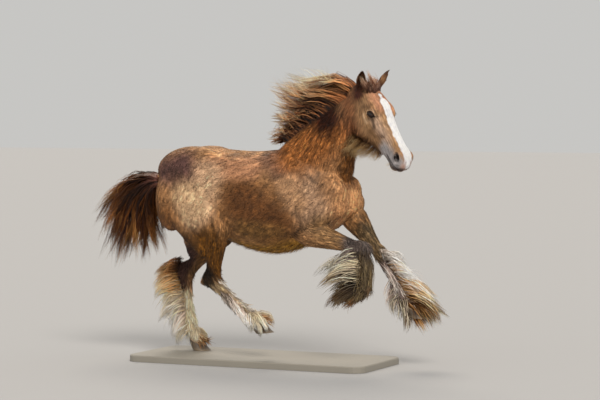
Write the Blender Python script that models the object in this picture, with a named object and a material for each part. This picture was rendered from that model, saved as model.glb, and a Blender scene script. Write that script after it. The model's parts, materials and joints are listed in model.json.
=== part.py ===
"""A young gypsy vanner horse at the canter, life size, on a plain museum base.

Metres, +Z up. The horse faces +X and its left side is +Y. It is modelled round
its own frame, with x = 0 at the middle of the barrel, y = 0 on the spine and
z = 0 on the ground, and the finished nodes are then set on the base with the
origin under the middle of the whole model.
"""

import math

import bmesh
import bpy
import numpy as np
from mathutils import Matrix, Vector
from mathutils.bvhtree import BVHTree

# How finely the body is modelled: the grid and the rounds of smoothing of its heavy masses,
# then of the whole
HEAVY_VOXEL = 0.013
HEAVY_SOFTEN = 12
VOXEL = 0.008
SOFTEN = 5
# How many triangles are left of the body and of each node with its locks, how strongly the
# face is kept against the rest, and the skin against the hair
BODY_TRIANGLES = 5200
HAIRY_TRIANGLES = {"head": 3800, "neck": 2300, "tail": 1620, "leg": 1400}
FACE_CARE = 0.022
SKIN_CARE = 50.0
# Hair this close to another node isn't simplified
NEAR = 0.005
# The clearance between two nodes
GAP = 0.0003

# Head: the poll, the way the face points, and the eyes
POLL = Vector((0.668, -0.062, 1.722))
FACE_YAW = math.radians(-19.0)
FACE_PITCH = math.radians(54.0)
EYE_RADIUS = 0.0235
EYE_SPOT = (0.217, 0.082, -0.044)
EYE_FINENESS = (12, 8)

# Hoof: from the coronet forward to the toe, and down to the sole
HOOF_REACH = 0.080
HOOF_DROP = 0.072
HOOF_SIDES = 16

# The plane behind the jowls and the plane in front of the shoulders
JOWL_BACK = Vector((0.531, -0.020, 1.544))
NECK_CUT = (0.300, 0.0, 1.225)
NECK_CUT_TURN = (0.498, 0.0, 0.867)

# How far down the bone each upper leg leaves the trunk
UPPER_CUTS = {"fore_right": 0.30, "fore_left": 0.26, "hind_right": 0.36, "hind_left": 0.40}

# The museum base
BASE_SIZE = Vector((1.62, 0.66, 0.04))
BASE_CENTRE = Vector((-0.08, 0.0, 0.0))
BASE_CORNER = 0.08
BASE_EDGE = 0.006

# How many locks of hair each part has, and their sections: share of the length, relative width
MANE_LOCKS = 23
TAIL_LOCKS = 26
FORELOCK_LOCKS = 7
BEARD_LOCKS = 7
FULL_LENGTH = 0.38
LAYERS = (0.0, 1.0, -1.0, 0.5, -0.5)
LOCK_SECTIONS = ((0.0, 0.6), (0.3, 1.0), (0.66, 0.95), (0.88, 0.5))
SHORT_SECTIONS = ((0.0, 0.6), (0.42, 1.0), (0.80, 0.66))

# Colours, linear: red, green, blue, and how rough the surface is
COLOURS = {
    "coat": ((0.32, 0.155, 0.06), 0.75),
    "dark_hair": ((0.045, 0.022, 0.014), 0.6),
    "horn": ((0.09, 0.075, 0.06), 0.45),
    "eye": ((0.02, 0.012, 0.01), 0.1),
    "base": ((0.5, 0.48, 0.45), 0.6),
}
# The colour of each kind of node, by how its name starts; all others have the coat's
SLOTS = {"stand": "base", "hoof": "horn", "eye": "eye", "tail": "dark_hair"}

# The joints of the four legs, in the order top to toe
LEGS = {
    "fore_right": {
        "shoulder": (0.430, -0.150, 0.990),
        "elbow": (0.285, -0.165, 0.795),
        "knee": (0.668, -0.165, 0.703),
        "fetlock": (0.674, -0.157, 0.456),
        "coronet": (0.588, -0.152, 0.415),
        "toe": (0.482, -0.150, 0.372),
    },
    "fore_left": {
        "shoulder": (0.450, 0.150, 1.020),
        "elbow": (0.445, 0.155, 0.900),
        "knee": (0.655, 0.150, 0.650),
        "fetlock": (0.815, 0.142, 0.405),
        "coronet": (0.885, 0.138, 0.337),
        "toe": (0.962, 0.136, 0.270),
    },
    "hind_right": {
        "hip": (-0.585, -0.140, 1.040),
        "stifle": (-0.300, -0.200, 0.830),
        "hock": (-0.352, -0.150, 0.472),
        "fetlock": (-0.125, -0.130, 0.278),
        "coronet": (-0.045, -0.128, 0.228),
        "toe": (0.045, -0.126, 0.160),
    },
    "hind_left": {
        "hip": (-0.600, 0.140, 1.040),
        "stifle": (-0.455, 0.190, 0.765),
        "hock": (-0.705, 0.140, 0.478),
        "fetlock": (-0.657, 0.128, 0.150),
        "coronet": (-0.612, 0.127, 0.072),
        "toe": (-0.532, 0.126, 0.000),
    },
}

# The trunk from the tail to the breast: x, top, bottom, height of the widest part, half width
TRUNK = (
    (-0.760, 1.150, 0.960, 1.060, 0.060),
    (-0.735, 1.195, 0.870, 1.050, 0.140),
    (-0.680, 1.245, 0.800, 1.050, 0.200),
    (-0.600, 1.285, 0.760, 1.060, 0.240),
    (-0.480, 1.308, 0.740, 1.060, 0.262),
    (-0.350, 1.302, 0.730, 1.020, 0.258),
    (-0.220, 1.292, 0.690, 0.980, 0.268),
    (-0.080, 1.290, 0.655, 0.955, 0.285),
    (0.050, 1.305, 0.648, 0.950, 0.272),
    (0.180, 1.315, 0.680, 0.960, 0.235),
    (0.300, 1.300, 0.735, 0.985, 0.200),
    (0.400, 1.250, 0.800, 1.010, 0.175),
    (0.470, 1.170, 0.860, 1.010, 0.140),
    (0.515, 1.090, 0.920, 1.000, 0.080),
)

# The neck from the shoulder to the poll: crest x, y, z, throat x, y, z, half width
NECK = (
    (0.020, 0.000, 1.280, 0.470, 0.000, 1.020, 0.165),
    (0.110, 0.000, 1.372, 0.510, 0.000, 1.110, 0.150),
    (0.240, -0.004, 1.468, 0.538, -0.008, 1.215, 0.122),
    (0.370, -0.016, 1.548, 0.566, -0.024, 1.320, 0.102),
    (0.490, -0.032, 1.618, 0.598, -0.042, 1.415, 0.090),
    (0.600, -0.050, 1.680, 0.640, -0.058, 1.490, 0.082),
)

# Sections down the face
HEAD_SECTIONS = (
    # distance from the poll, top, (side, height) of four points down the side, bottom
    (-0.020, -0.040, (0.045, -0.050), (0.062, -0.095), (0.055, -0.145), (0.035, -0.180), -0.195),
    (0.040, -0.005, (0.050, -0.015), (0.078, -0.075), (0.076, -0.160), (0.045, -0.215), -0.225),
    (0.110, 0.010, (0.060, 0.002), (0.088, -0.060), (0.086, -0.164), (0.050, -0.244), -0.250),
    (0.190, 0.014, (0.072, 0.004), (0.096, -0.050), (0.088, -0.166), (0.050, -0.256), -0.260),
    (0.260, 0.008, (0.060, -0.004), (0.084, -0.050), (0.080, -0.146), (0.040, -0.244), -0.247),
    (0.330, 0.000, (0.046, -0.010), (0.066, -0.052), (0.062, -0.124), (0.034, -0.208), -0.212),
    (0.400, -0.004, (0.038, -0.012), (0.053, -0.052), (0.050, -0.108), (0.030, -0.170), -0.174),
    (0.460, -0.006, (0.037, -0.014), (0.054, -0.050), (0.050, -0.100), (0.030, -0.146), -0.150),
    (0.520, -0.008, (0.042, -0.016), (0.062, -0.052), (0.056, -0.098), (0.032, -0.138), -0.144),
    (0.570, -0.022, (0.038, -0.030), (0.055, -0.060), (0.050, -0.094), (0.028, -0.124), -0.128),
    (0.598, -0.046, (0.022, -0.050), (0.034, -0.068), (0.030, -0.088), (0.016, -0.100), -0.102),
)

# Sections of an ear: share of its length, half width, and how far the cup is hollowed
EAR_SECTIONS = (
    (0.00, 0.022, 0.30),
    (0.14, 0.027, 0.50),
    (0.32, 0.031, 0.72),
    (0.52, 0.030, 0.76),
    (0.72, 0.023, 0.70),
    (0.90, 0.012, 0.58),
    (1.00, 0.003, 0.40),
)

# Guide paths, from the root to the tip. The mane runs from the poll to the withers.
MANE_GUIDES = (
    (
        (0.625, -0.050, 1.662), (0.530, -0.030, 1.715), (0.410, 0.000, 1.742),
        (0.272, 0.020, 1.738), (0.145, 0.030, 1.722),
    ),
    (
        (0.565, -0.042, 1.622), (0.495, -0.020, 1.664), (0.363, 0.000, 1.690),
        (0.163, 0.020, 1.683), (0.010, 0.030, 1.735),
    ),
    (
        (0.490, -0.030, 1.572), (0.415, -0.015, 1.615), (0.295, 0.000, 1.635),
        (0.115, 0.020, 1.628), (-0.010, 0.030, 1.685),
    ),
    (
        (0.405, -0.018, 1.517), (0.330, -0.010, 1.562), (0.227, 0.010, 1.580),
        (0.080, 0.020, 1.568), (-0.075, 0.040, 1.606),
    ),
    (
        (0.315, -0.008, 1.457), (0.255, 0.000, 1.500), (0.179, 0.010, 1.518),
        (0.067, 0.020, 1.498), (-0.100, 0.045, 1.531),
    ),
    (
        (0.225, 0.000, 1.400), (0.168, 0.000, 1.440), (0.115, 0.010, 1.450),
        (0.060, 0.020, 1.436), (0.000, 0.030, 1.432),
    ),
    (
        (0.140, 0.000, 1.345), (0.090, 0.000, 1.372), (0.044, 0.000, 1.368),
        (-0.005, 0.010, 1.347), (-0.060, 0.020, 1.318),
    ),
)
# The tail runs from its upper edge to the edge beside the buttocks
TAIL_GUIDES = (
    (
        (-0.800, 0.000, 1.130), (-0.870, 0.000, 1.142), (-0.980, 0.000, 1.120),
        (-1.130, 0.020, 1.050), (-1.300, 0.030, 0.925),
    ),
    (
        (-0.800, 0.000, 1.125), (-0.880, 0.000, 1.122), (-1.010, 0.000, 1.060),
        (-1.170, 0.020, 0.930), (-1.262, 0.030, 0.755),
    ),
    (
        (-0.800, 0.000, 1.118), (-0.880, 0.000, 1.098), (-1.000, 0.000, 1.000),
        (-1.130, 0.020, 0.820), (-1.200, 0.030, 0.588),
    ),
    (
        (-0.800, 0.000, 1.110), (-0.865, 0.000, 1.075), (-0.955, 0.000, 0.950),
        (-1.035, 0.020, 0.760), (-1.085, 0.030, 0.571),
    ),
    (
        (-0.800, 0.000, 1.100), (-0.850, 0.000, 1.060), (-0.900, 0.000, 0.935),
        (-0.935, 0.020, 0.760), (-0.950, 0.030, 0.605),
    ),
    (
        (-0.800, 0.000, 1.095), (-0.835, 0.000, 1.050), (-0.860, 0.000, 0.950),
        (-0.860, 0.020, 0.850), (-0.825, 0.030, 0.750),
    ),
)
# The forelock, in the head's own measures: distance down the face, to the left, and out
FORELOCK_GUIDES = (
    (
        (0.005, -0.045, -0.030), (-0.005, -0.050, 0.022), (0.025, -0.056, 0.046),
        (0.062, -0.064, 0.036), (0.092, -0.070, 0.016),
    ),
    (
        (0.005, -0.015, -0.025), (-0.005, -0.020, 0.038), (0.028, -0.026, 0.060),
        (0.072, -0.034, 0.046), (0.110, -0.038, 0.024),
    ),
    (
        (0.005, 0.015, -0.025), (-0.005, 0.020, 0.042), (0.024, 0.034, 0.068),
        (0.066, 0.046, 0.052), (0.104, 0.052, 0.026),
    ),
    (
        (0.005, 0.040, -0.030), (0.000, 0.050, 0.030), (0.022, 0.066, 0.056),
        (0.052, 0.080, 0.042), (0.080, 0.088, 0.016),
    ),
)

# The feather of each leg in fans of locks. Each fan has the place of its root and of its tips in
# the side view (x, z), how far its outer tips stand to the side, the lanes of its locks from
# one side (-1) to the other (1), and their width.
FEATHER_FANS = {
    "hind_left": (
        ((-0.765, 0.482), (-0.900, 0.412), 0.030, (-0.7, 0.7), 0.072),
        ((-0.738, 0.432), (-0.888, 0.318), 0.045, (-1.0, 0.9), 0.082),
        ((-0.720, 0.368), (-0.868, 0.232), 0.055, (-0.8, 0.1, 1.0), 0.086),
        ((-0.706, 0.295), (-0.832, 0.132), 0.062, (-1.0, 0.8), 0.086),
        ((-0.692, 0.220), (-0.768, 0.045), 0.075, (-0.8, 0.1, 1.0), 0.086),
        ((-0.655, 0.145), (-0.680, 0.024), 0.092, (-1.0, 1.0), 0.082),
        ((-0.612, 0.132), (-0.580, 0.030), 0.080, (-0.6, 0.6), 0.078),
    ),
    "fore_right": (
        ((0.640, 0.600), (0.455, 0.545), 0.030, (-0.6, 0.6), 0.072),
        ((0.645, 0.555), (0.388, 0.515), 0.045, (-0.9, 0.7), 0.086),
        ((0.650, 0.510), (0.418, 0.456), 0.060, (-0.7, 0.1, 1.0), 0.090),
        ((0.652, 0.470), (0.442, 0.400), 0.078, (-1.0, 0.9), 0.090),
        ((0.650, 0.440), (0.475, 0.346), 0.088, (-1.0, 1.0), 0.090),
        ((0.655, 0.430), (0.565, 0.342), 0.084, (-1.0, 1.0), 0.086),
        ((0.690, 0.435), (0.645, 0.372), 0.045, (-0.6, 0.6), 0.076),
    ),
    "fore_left": (
        ((0.742, 0.548), (0.860, 0.505), 0.034, (-0.6, 0.6), 0.072),
        ((0.780, 0.488), (0.932, 0.425), 0.050, (-0.9, 0.7), 0.082),
        ((0.822, 0.430), (1.000, 0.348), 0.066, (-0.8, 0.1, 1.0), 0.086),
        ((0.862, 0.385), (1.055, 0.264), 0.080, (-1.0, 0.8), 0.086),
        ((0.860, 0.345), (0.965, 0.236), 0.092, (-1.0, 1.0), 0.086),
        ((0.818, 0.378), (0.870, 0.246), 0.078, (-0.9, 0.9), 0.084),
        ((0.790, 0.410), (0.775, 0.270), 0.056, (-0.7, 0.7), 0.080),
        ((0.765, 0.455), (0.708, 0.325), 0.042, (-0.6, 0.5), 0.076),
    ),
    "hind_right": (
        ((-0.312, 0.418), (-0.262, 0.318), 0.032, (-0.7, 0.7), 0.070),
        ((-0.250, 0.372), (-0.190, 0.264), 0.046, (-0.9, 0.8), 0.078),
        ((-0.188, 0.322), (-0.125, 0.210), 0.060, (-0.8, 0.1, 1.0), 0.082),
        ((-0.132, 0.280), (-0.068, 0.158), 0.078, (-1.0, 0.9), 0.082),
        ((-0.080, 0.265), (0.000, 0.150), 0.088, (-1.0, 1.0), 0.080),
        ((-0.060, 0.278), (0.074, 0.192), 0.074, (-0.6, 0.6), 0.078),
    ),
}
# How many of a leg's fans, from the top, share a core, and how far the core reaches to the tips
FEATHER_CORE = {"hind_left": 5, "fore_right": 5, "fore_left": 4, "hind_right": 4}
CORE_REACH = 0.45


def clear_scene():
    """Takes away whatever the file opened with."""
    for thing in list(bpy.data.objects):
        bpy.data.objects.remove(thing, do_unlink=True)


def new_object(name, mesh):
    """Links a mesh to the scene as an object of that name."""
    made = bpy.data.objects.new(name, mesh)
    bpy.context.scene.collection.objects.link(made)
    return made


def mesh_from(name, points, faces):
    """A mesh object from points and faces, with its faces turned outwards."""
    work = bmesh.new()
    verts = [work.verts.new(p) for p in points]
    for face in faces:
        work.faces.new([verts[i] for i in face])
    bmesh.ops.recalc_face_normals(work, faces=work.faces)
    mesh = bpy.data.meshes.new(name)
    work.to_mesh(mesh)
    work.free()
    return new_object(name, mesh)


def spline(knots, values, at):
    """Smooth values through a few knots, by cubic pieces with no overshoot at the ends."""
    knots = np.asarray(knots, float)
    values = np.asarray(values, float)
    slopes = np.gradient(values, knots, axis=0)
    at = np.clip(at, knots[0], knots[-1])
    i = np.clip(np.searchsorted(knots, at, side="right") - 1, 0, len(knots) - 2)
    step = knots[i + 1] - knots[i]
    t = (at - knots[i]) / step
    shape = (len(t),) + (1,) * (values.ndim - 1)
    t, step = t.reshape(shape), step.reshape(shape)
    a, b, ma, mb = values[i], values[i + 1], slopes[i], slopes[i + 1]
    return (
        (2 * t**3 - 3 * t**2 + 1) * a
        + (t**3 - 2 * t**2 + t) * step * ma
        + (3 * t**2 - 2 * t**3) * b
        + (t**3 - t**2) * step * mb
    )


def skin_rings(name, rings):
    """One closed mesh over a row of rings that have the same number of points."""
    count = len(rings[0])
    points = [p for ring in rings for p in ring]
    faces = []
    for i in range(len(rings) - 1):
        for j in range(count):
            k = (j + 1) % count
            faces.append((i * count + j, i * count + k, (i + 1) * count + k, (i + 1) * count + j))
    for start in (0, (len(rings) - 1) * count):
        centre = sum((Vector(points[start + j]) for j in range(count)), Vector()) / count
        points.append(centre)
        faces += [(start + j, start + (j + 1) % count, len(points) - 1) for j in range(count)]
    return mesh_from(name, points, faces)


def oval(centre, across, upwards, half_width, high, low, square=2.0, sides=20):
    """A ring of points round a centre: an oval whose upper and lower halves may differ."""
    ring = []
    for k in range(sides):
        turn = 2 * math.pi * k / sides
        c, s = math.cos(turn), math.sin(turn)
        side = math.copysign(abs(c) ** (2 / square), c) * half_width
        rise = math.copysign(abs(s) ** (2 / square), s) * (high if s > 0 else low)
        ring.append(Vector(centre) + across * side + upwards * rise)
    return ring


def limb(name, start, end, stations, rings=14, sides=20):
    """A closed tapering length of a limb between two joints.

    stations holds (share of the length, radius in front, radius behind, half width).
    """
    start, end = Vector(start), Vector(end)
    along = (end - start).normalized()
    front = along.cross(Vector((0, 1, 0))).normalized()
    side = front.cross(along).normalized()
    table = np.array(stations, float)
    shares = np.linspace(table[0, 0], table[-1, 0], rings)
    sizes = spline(table[:, 0], table[:, 1:], shares)
    made = [
        oval(start.lerp(end, share), side, front, wide, fore, aft, 2.2, sides)
        for share, (fore, aft, wide) in zip(shares, sizes)
    ]
    return skin_rings(name, made)


def mass(name, centre, radii, along=(1, 0, 0), across=(0, 1, 0), fineness=(20, 12)):
    """A rounded muscle or bone: an ellipsoid with its first radius along a direction."""
    along = Vector(along).normalized()
    across = Vector(across)
    across = (across - along * across.dot(along)).normalized()
    up = along.cross(across)
    work = bmesh.new()
    bmesh.ops.create_uvsphere(work, u_segments=fineness[0], v_segments=fineness[1], radius=1.0)
    mesh = bpy.data.meshes.new(name)
    work.to_mesh(mesh)
    work.free()
    turn = Matrix((along, across, up)).transposed().to_4x4()
    size = Matrix.Diagonal((radii[0], radii[1], radii[2], 1.0))
    mesh.transform(Matrix.Translation(Vector(centre)) @ turn @ size)
    return new_object(name, mesh)


def evaluated_mesh(obj):
    """The mesh of an object with its modifiers applied."""
    graph = bpy.context.evaluated_depsgraph_get()
    return bpy.data.meshes.new_from_object(obj.evaluated_get(graph))


def settle(obj):
    """Applies every modifier of an object to its mesh."""
    mesh = evaluated_mesh(obj)
    obj.modifiers.clear()
    obj.data = mesh
    return obj


def join(name, pieces):
    """One object that holds the meshes of several, which are then removed."""
    work = bmesh.new()
    for piece in pieces:
        work.from_mesh(piece.data)
    mesh = bpy.data.meshes.new(name)
    work.to_mesh(mesh)
    work.free()
    for piece in pieces:
        bpy.data.objects.remove(piece, do_unlink=True)
    return new_object(name, mesh)


def trunk_pieces():
    """The barrel, and the masses of the croup, buttocks, shoulders and breast."""
    table = np.array(TRUNK, float)
    at = np.linspace(table[0, 0], table[-1, 0], 40)
    rings = []
    for x, (top, bottom, middle, half) in zip(at, spline(table[:, 0], table[:, 1:], at)):
        centre = Vector((x, 0, middle))
        across, upwards = Vector((0, 1, 0)), Vector((0, 0, 1))
        rings.append(oval(centre, across, upwards, half, top - middle, middle - bottom, 2.15, 32))
    pieces = [skin_rings("barrel", rings)]
    for side in (-1, 1):
        pieces += [
            mass("croup", (-0.520, side * 0.115, 1.170), (0.240, 0.150, 0.150), (1, 0, 0.06)),
            mass("buttock", (-0.655, side * 0.130, 0.985), (0.110, 0.118, 0.215), (1, 0, 0)),
            mass("blade", (0.240, side * 0.110, 1.130), (0.250, 0.095, 0.140), (0.62, side * 0.16, -0.76)),
            mass("triceps", (0.290, side * 0.140, 0.950), (0.170, 0.090, 0.140), (0.5, 0, -0.86)),
            mass("point", (0.430, side * 0.120, 1.040), (0.110, 0.080, 0.110), (1, 0, 0)),
            mass("breast", (0.452, side * 0.085, 0.985), (0.088, 0.080, 0.120), (1, 0, 0)),
        ]
    return pieces


def neck_pieces():
    """The neck, deep at the shoulder and thickest below its middle."""
    table = np.array(NECK, float)
    knots = np.linspace(0, 1, len(NECK))
    at = np.linspace(0, 1, 22)
    rings = []
    for row in spline(knots, table, at):
        crest, throat, half = Vector(row[0:3]), Vector(row[3:6]), row[6]
        upwards = (crest - throat).normalized()
        depth = (crest - throat).length
        across = Vector((0, 1, 0)) - upwards * upwards.y
        centre = throat + upwards * depth * 0.42
        rings.append(
            oval(centre, across.normalized(), upwards, half, depth * 0.58, depth * 0.42, 2.0, 28)
        )
    return [skin_rings("neck", rings)]


def head_frame():
    """The head's own axes: along the face, up out of the face, and to its left."""
    along = Vector(
        (
            math.cos(FACE_PITCH) * math.cos(FACE_YAW),
            math.cos(FACE_PITCH) * math.sin(FACE_YAW),
            -math.sin(FACE_PITCH),
        )
    )
    left = Vector((-math.sin(FACE_YAW), math.cos(FACE_YAW), 0.0))
    return along, along.cross(left), left


def on_head(distance, side, height):
    """The point of the head that far down the face, to its left, and out of it."""
    along, out, left = head_frame()
    return POLL + along * distance + left * side + out * height


def head_pieces():
    """The skull with its jowls, brows, face ridges, nostrils, lips and chin."""
    along, _, left = head_frame()
    flat = np.array([[d, t] + [c for p in pts for c in p] + [b] for d, t, *pts, b in HEAD_SECTIONS])
    at = np.linspace(flat[0, 0], flat[-1, 0], 40)
    rings = []
    for distance, row in zip(at, spline(flat[:, 0], flat[:, 1:], at)):
        sides = [(row[1 + 2 * k], row[2 + 2 * k]) for k in range(4)]
        loop = [(0.0, row[0]), *sides, (0.0, row[9]), *[(-y, v) for y, v in reversed(sides)]]
        closed = np.array(loop + [loop[0]])
        knots = np.arange(len(closed), dtype=float)
        fine = spline(knots, closed, np.arange(0, len(loop), 0.25))
        rings.append([on_head(distance, y, v) for y, v in fine])
    pieces = [skin_rings("skull", rings)]
    for side in (-1, 1):
        pieces += [
            mass("brow", on_head(0.205, side * 0.080, -0.012), (0.050, 0.022, 0.026), along, left),
            mass("orbit", on_head(0.217, side * 0.078, -0.046), (0.036, 0.022, 0.030), along, left),
            mass("jowl", on_head(0.185, side * 0.058, -0.160), (0.112, 0.040, 0.092), along, left),
            mass("ridge", on_head(0.300, side * 0.060, -0.062), (0.080, 0.014, 0.012), along, left),
            mass("nostril", on_head(0.528, side * 0.048, -0.044), (0.040, 0.022, 0.030), along, left),
        ]
    pieces += [
        mass("upper_lip", on_head(0.578, 0, -0.068), (0.030, 0.042, 0.036), along, left),
        mass("lower_lip", on_head(0.566, 0, -0.116), (0.030, 0.032, 0.015), along, left),
        mass("chin", on_head(0.535, 0, -0.136), (0.038, 0.034, 0.024), along, left),
    ]
    return pieces


def thigh_pieces(name):
    """The heavy upper part of a leg, which lies in the trunk."""
    joints = {key: Vector(value) for key, value in LEGS[name].items()}
    if name.startswith("fore"):
        return [
            limb("upper_arm", joints["shoulder"], joints["elbow"], (
                (-0.20, 0.060, 0.060, 0.050),
                (0.20, 0.090, 0.100, 0.080),
                (0.80, 0.085, 0.110, 0.080),
                (1.30, 0.050, 0.070, 0.050),
            )),
        ]
    back = joints["hock"].lerp(joints["stifle"], 0.42) - Vector((0.060, 0, 0))
    rump = joints["hip"] + Vector((-0.075, 0, -0.060))
    middle = (joints["hip"] + joints["stifle"] + rump + back) / 4
    return [
        mass("ham", middle, (0.125, 0.098, 0.150)),
        limb("thigh", joints["hip"], joints["stifle"], (
            (-0.10, 0.100, 0.100, 0.080),
            (0.20, 0.160, 0.170, 0.110),
            (0.65, 0.130, 0.160, 0.105),
            (1.00, 0.085, 0.130, 0.085),
            (1.15, 0.040, 0.090, 0.050),
        )),
        limb("hamstring", rump, back, (
            (-0.05, 0.070, 0.060, 0.080),
            (0.25, 0.110, 0.080, 0.100),
            (0.65, 0.110, 0.058, 0.080),
            (1.00, 0.080, 0.030, 0.050),
        )),
    ]


def shank_pieces(name):
    """The lower part of a leg, from the elbow or stifle to the coronet."""
    joints = {key: Vector(value) for key, value in LEGS[name].items()}
    fore = name.startswith("fore")
    top, middle = (joints["elbow"], joints["knee"]) if fore else (joints["stifle"], joints["hock"])
    bend = joints["fetlock"] - top
    down = (joints["fetlock"] - middle).normalized()
    if fore:
        made = [
            limb("forearm", joints["elbow"], joints["knee"], (
                (-0.12, 0.040, 0.055, 0.050),
                (0.05, 0.085, 0.082, 0.074),
                (0.28, 0.080, 0.074, 0.070),
                (0.55, 0.060, 0.058, 0.052),
                (0.82, 0.043, 0.045, 0.040),
                (1.00, 0.046, 0.042, 0.043),
                (1.08, 0.030, 0.030, 0.030),
            )),
            mass("knee", joints["knee"], (0.060, 0.045, 0.050), bend),
            limb("cannon", joints["knee"], joints["fetlock"], (
                (-0.05, 0.042, 0.044, 0.040),
                (0.14, 0.040, 0.044, 0.037),
                (0.35, 0.030, 0.038, 0.029),
                (0.70, 0.029, 0.037, 0.028),
                (0.92, 0.035, 0.044, 0.035),
                (1.06, 0.030, 0.038, 0.031),
            )),
        ]
    else:
        rear = Vector((down.z, 0, -down.x))
        heel = joints["hock"] - down * 0.052 + rear * 0.052
        made = [
            limb("gaskin", joints["stifle"], joints["hock"], (
                (-0.15, 0.060, 0.080, 0.060),
                (0.05, 0.085, 0.120, 0.085),
                (0.30, 0.068, 0.100, 0.072),
                (0.58, 0.050, 0.070, 0.052),
                (0.82, 0.040, 0.056, 0.040),
                (1.00, 0.046, 0.050, 0.044),
                (1.10, 0.030, 0.036, 0.030),
            )),
            mass("hock", joints["hock"], (0.062, 0.045, 0.054), bend),
            limb("heel", joints["stifle"].lerp(joints["hock"], 0.55) + rear * 0.030, heel, (
                (0.00, 0.030, 0.024, 0.022),
                (0.50, 0.030, 0.020, 0.018),
                (0.90, 0.034, 0.022, 0.022),
                (1.08, 0.030, 0.016, 0.018),
            )),
            limb("heel_bone", heel, joints["hock"] + down * 0.04 + rear * 0.012, (
                (-0.15, 0.018, 0.018, 0.018),
                (0.15, 0.024, 0.024, 0.024),
                (1.00, 0.026, 0.024, 0.026),
            )),
            limb("cannon", joints["hock"], joints["fetlock"], (
                (-0.06, 0.042, 0.048, 0.040),
                (0.10, 0.044, 0.048, 0.040),
                (0.30, 0.033, 0.038, 0.031),
                (0.70, 0.031, 0.037, 0.029),
                (0.93, 0.036, 0.045, 0.036),
                (1.06, 0.032, 0.038, 0.032),
            )),
        ]
    made += [
        mass("fetlock", joints["fetlock"], (0.044, 0.040, 0.042), joints["coronet"] - joints["fetlock"]),
        limb("pastern", joints["fetlock"], joints["coronet"], (
            (-0.10, 0.036, 0.040, 0.036),
            (0.45, 0.034, 0.038, 0.036),
            (1.00, 0.048, 0.048, 0.050),
            (1.40, 0.050, 0.050, 0.052),
        )),
    ]
    return made


def fuse(obj, voxel, softness):
    """Melts overlapping pieces into one skin and softens it."""
    melt = obj.modifiers.new("melt", "REMESH")
    melt.mode = "VOXEL"
    melt.voxel_size = voxel
    soften = obj.modifiers.new("soften", "SMOOTH")
    soften.factor = 0.5
    soften.iterations = softness
    return settle(obj)


def model_body():
    """The whole body as one closed skin: the heavy masses are softened more than the fine ones."""
    heavy = trunk_pieces() + neck_pieces()
    for name in LEGS:
        heavy += thigh_pieces(name)
    heavy = fuse(join("heavy", heavy), HEAVY_VOXEL, HEAVY_SOFTEN)
    fine = [heavy] + head_pieces()
    for name in LEGS:
        fine += shank_pieces(name)
    return fuse(join("body", fine), VOXEL, SOFTEN)


def boolean(obj, other, operation, solver="EXACT"):
    """Applies one Boolean of an object with another, which is left as it was."""
    step = obj.modifiers.new("step", "BOOLEAN")
    step.operation = operation
    step.object = other
    step.solver = solver
    settle(obj)
    return keep_largest(obj)


def keep_largest(obj):
    """Leaves only the closed surface of an object that holds the most volume."""
    work = bmesh.new()
    work.from_mesh(obj.data)
    bmesh.ops.triangulate(work, faces=work.faces)
    bmesh.ops.dissolve_degenerate(work, edges=work.edges, dist=1e-6)
    bmesh.ops.triangulate(work, faces=work.faces)
    seen = set()
    shells = []
    for face in work.faces:
        if face in seen:
            continue
        shell, waiting = [], [face]
        seen.add(face)
        while waiting:
            now = waiting.pop()
            shell.append(now)
            for edge in now.edges:
                for near in edge.link_faces:
                    if near not in seen:
                        seen.add(near)
                        waiting.append(near)
        volume = sum(f.verts[0].co.dot(f.verts[1].co.cross(f.verts[2].co)) for f in shell) / 6
        shells.append((volume, shell))
    if len(shells) > 1:
        shells.sort(key=lambda item: item[0])
        spare = [face for _, shell in shells[:-1] for face in shell]
        bmesh.ops.delete(work, geom=spare, context="FACES")
        loose = [v for v in work.verts if not v.link_faces]
        bmesh.ops.delete(work, geom=loose, context="VERTS")
    work.to_mesh(obj.data)
    work.free()
    return obj


def copy_of(obj, name):
    """A second object with its own copy of a mesh."""
    return new_object(name, obj.data.copy())


def remove(*things):
    """Takes objects out of the scene."""
    for thing in things:
        bpy.data.objects.remove(thing, do_unlink=True)


def box_cutter(origin, along, reach, width, depth, grow=0.0, across=(0, 1, 0)):
    """An oriented box. Each range is (low, high), measured from the origin.

    reach runs along the first direction, width across it and depth square to both.
    """
    along = Vector(along).normalized()
    across = Vector(across)
    across = (across - along * across.dot(along)).normalized()
    up = along.cross(across)
    corners = []
    for a in (reach[0] - grow, reach[1] + grow):
        for b in (width[0] - grow, width[1] + grow):
            for c in (depth[0] - grow, depth[1] + grow):
                corners.append(Vector(origin) + along * a + across * b + up * c)
    faces = [(0, 1, 3, 2), (4, 6, 7, 5), (0, 4, 5, 1), (2, 3, 7, 6), (0, 2, 6, 4), (1, 5, 7, 3)]
    return mesh_from("cutter", corners, faces)


def carve(body, name, box):
    """Takes the part of a body inside a box off as a node of its own, with a fine gap between."""
    piece = copy_of(body, name)
    cutter = box_cutter(*box)
    boolean(piece, cutter, "INTERSECT")
    remove(cutter)
    cutter = box_cutter(*box, grow=GAP)
    boolean(body, cutter, "DIFFERENCE")
    remove(cutter)
    return piece


def leg_boxes(name):
    """The boxes that hold the lower and the upper part of a leg."""
    joints = {key: Vector(value) for key, value in LEGS[name].items()}
    fore = name.startswith("fore")
    top, middle = (joints["elbow"], joints["knee"]) if fore else (joints["stifle"], joints["hock"])
    upper = (middle - top).normalized()
    lower = (joints["fetlock"] - middle).normalized()
    turn = (upper + lower).normalized()
    start = top.lerp(middle, UPPER_CUTS[name])
    length = (middle - start).length + 0.16
    ahead = 0.092 if fore else 0.160
    below = middle - turn * (0.03 if fore else 0.05)
    return {
        "lower": (below, turn, (0, 0.75), (-0.12, 0.12), (-0.42, 0.42)),
        "upper": (start, upper, (0, length), (-0.115, 0.115), (-0.160, ahead)),
    }


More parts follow.
